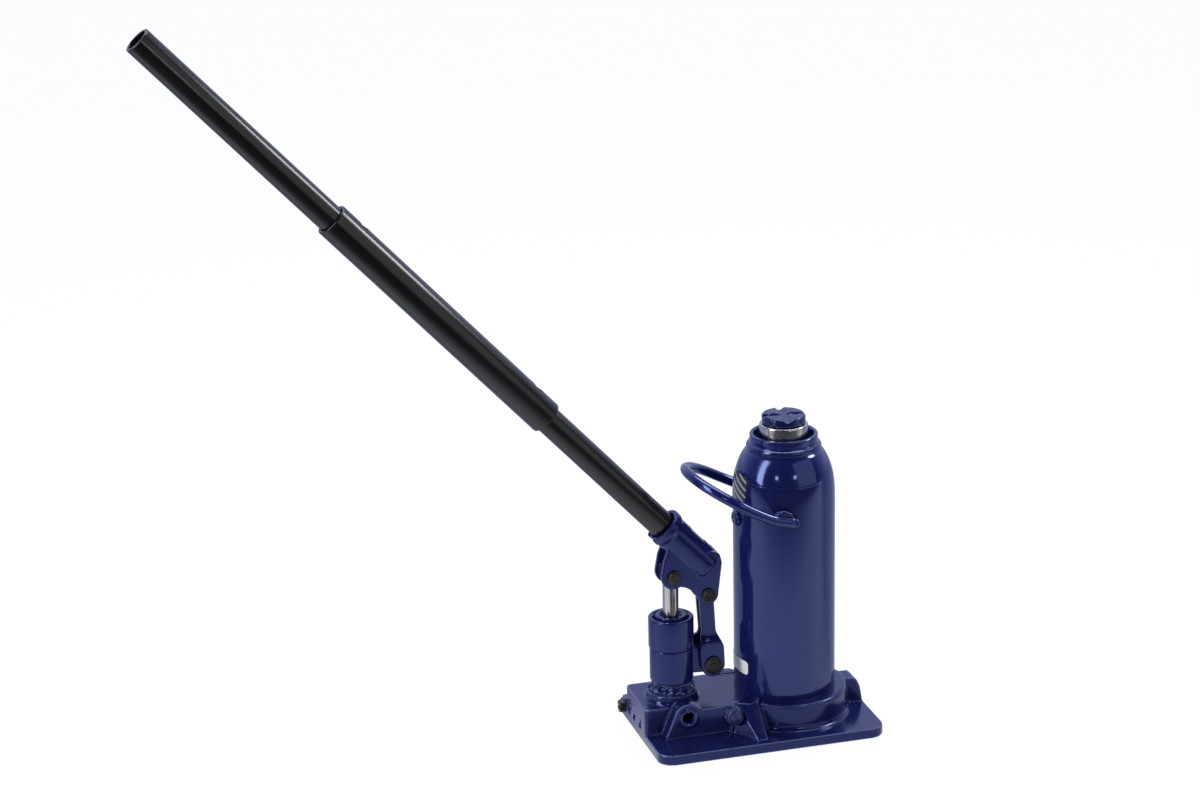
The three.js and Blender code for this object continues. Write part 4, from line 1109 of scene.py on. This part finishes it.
FLOOR_HALF, FLOOR_Z = 15, -0.0002
floor_mesh = bpy.data.meshes.new("floor")
corners = ((-FLOOR_HALF, -FLOOR_HALF), (FLOOR_HALF, -FLOOR_HALF), (FLOOR_HALF, FLOOR_HALF),
           (-FLOOR_HALF, FLOOR_HALF))
floor_mesh.from_pydata([(x, y, FLOOR_Z) for x, y in corners], [], [(0, 1, 2, 3)])
floor = bpy.data.objects.new("floor", floor_mesh)
bpy.context.scene.collection.objects.link(floor)
floor_look = new_material("floor_paper")
floor_look.set(Base_Color=(0.06, 0.06, 0.06, 1), Roughness=0.7, Specular_IOR_Level=0.1,
               Emission_Strength=1)
floor_light = towards_camera(floor_look, -0.2, 0.7, [
    (0.18, (0.30, 0.35, 0.54)), (0.29, (0.96, 0.97, 1.0)), (0.50, (0.96, 0.97, 1.0)),
    (0.72, (0.36, 0.38, 0.46)), (0.91, (0.03, 0.03, 0.04)),
])
seen_plain(floor_look, floor_light, floor_look.shader.inputs["Emission Color"])
floor_mesh.materials.append(floor_look.material)

# a room whose walls grow darker from the rear to the camera's side
studio = bpy.data.worlds.new("studio")
bpy.context.scene.world = studio
walls = Nodes(studio, "Generated")
wall_light = towards_camera(walls, -0.6, 0.1, [(0, (0.64, 0.70, 1.0)), (1, (0.03, 0.034, 0.05))])
seen_plain(walls, wall_light, walls.tree.nodes["Background"].inputs["Color"])


def softbox(name, azimuth, distance, height, aim, wide, tall, power):
    """A rectangular lamp; its azimuth is counted from the camera's side, positive to its right."""
    data = bpy.data.lights.new(name, "AREA")
    data.shape, data.size, data.size_y, data.energy = "RECTANGLE", wide, tall, power
    lamp = bpy.data.objects.new(name, data)
    bpy.context.scene.collection.objects.link(lamp)
    turn = math.radians(AZIMUTH + azimuth)
    place = Vector((distance * math.sin(turn), -distance * math.cos(turn), height))
    lamp.location = place
    lamp.visible_camera = False
    lamp.rotation_mode = "QUATERNION"
    lamp.rotation_quaternion = (Vector(aim) - place).to_track_quat("-Z", "Y")


JACK, HANDLE_TOP, FOOT = (-0.02, 0, 0.15), (-0.42, 0, 0.53), (-0.1, 0, 0.1)
softbox("left_strip", -61, 1.5, 0.85, JACK, 0.42, 1.5, 18)
softbox("right_wall", 54, 1.8, 0.95, JACK, 1.8, 1.7, 7.5)
softbox("rear_strip", 107, 1.05, 1.16, HANDLE_TOP, 0.40, 0.36, 8)
softbox("small_left", -20, 2.3, 0.95, JACK, 0.22, 0.22, 2.0)
softbox("small_right", 24, 2.3, 0.95, JACK, 0.22, 0.22, 2.0)
softbox("top", 180, 0.5, 1.9, FOOT, 1.5, 1.0, 26)

rise = math.radians(ELEVATION)
target = Vector((TARGET_RIGHT * math.cos(TURN), TARGET_RIGHT * math.sin(TURN), TARGET_Z))
back = Vector((math.sin(TURN) * math.cos(rise), -math.cos(TURN) * math.cos(rise), math.sin(rise)))
camera_data = bpy.data.cameras.new("camera")
camera_data.sensor_width, camera_data.lens = SENSOR_MM, FOCAL_MM
camera = bpy.data.objects.new("camera", camera_data)
bpy.context.scene.collection.objects.link(camera)
camera.rotation_mode = "QUATERNION"
camera.location = target + back * DISTANCE
aimed = (-back).to_track_quat("-Z", "Y").to_matrix().to_4x4()
rolled = aimed @ Matrix.Rotation(math.radians(ROLL), 4, "Z")
camera.rotation_quaternion = rolled.to_quaternion()
bpy.context.scene.camera = camera
bpy.context.scene.view_settings.view_transform = "Standard"
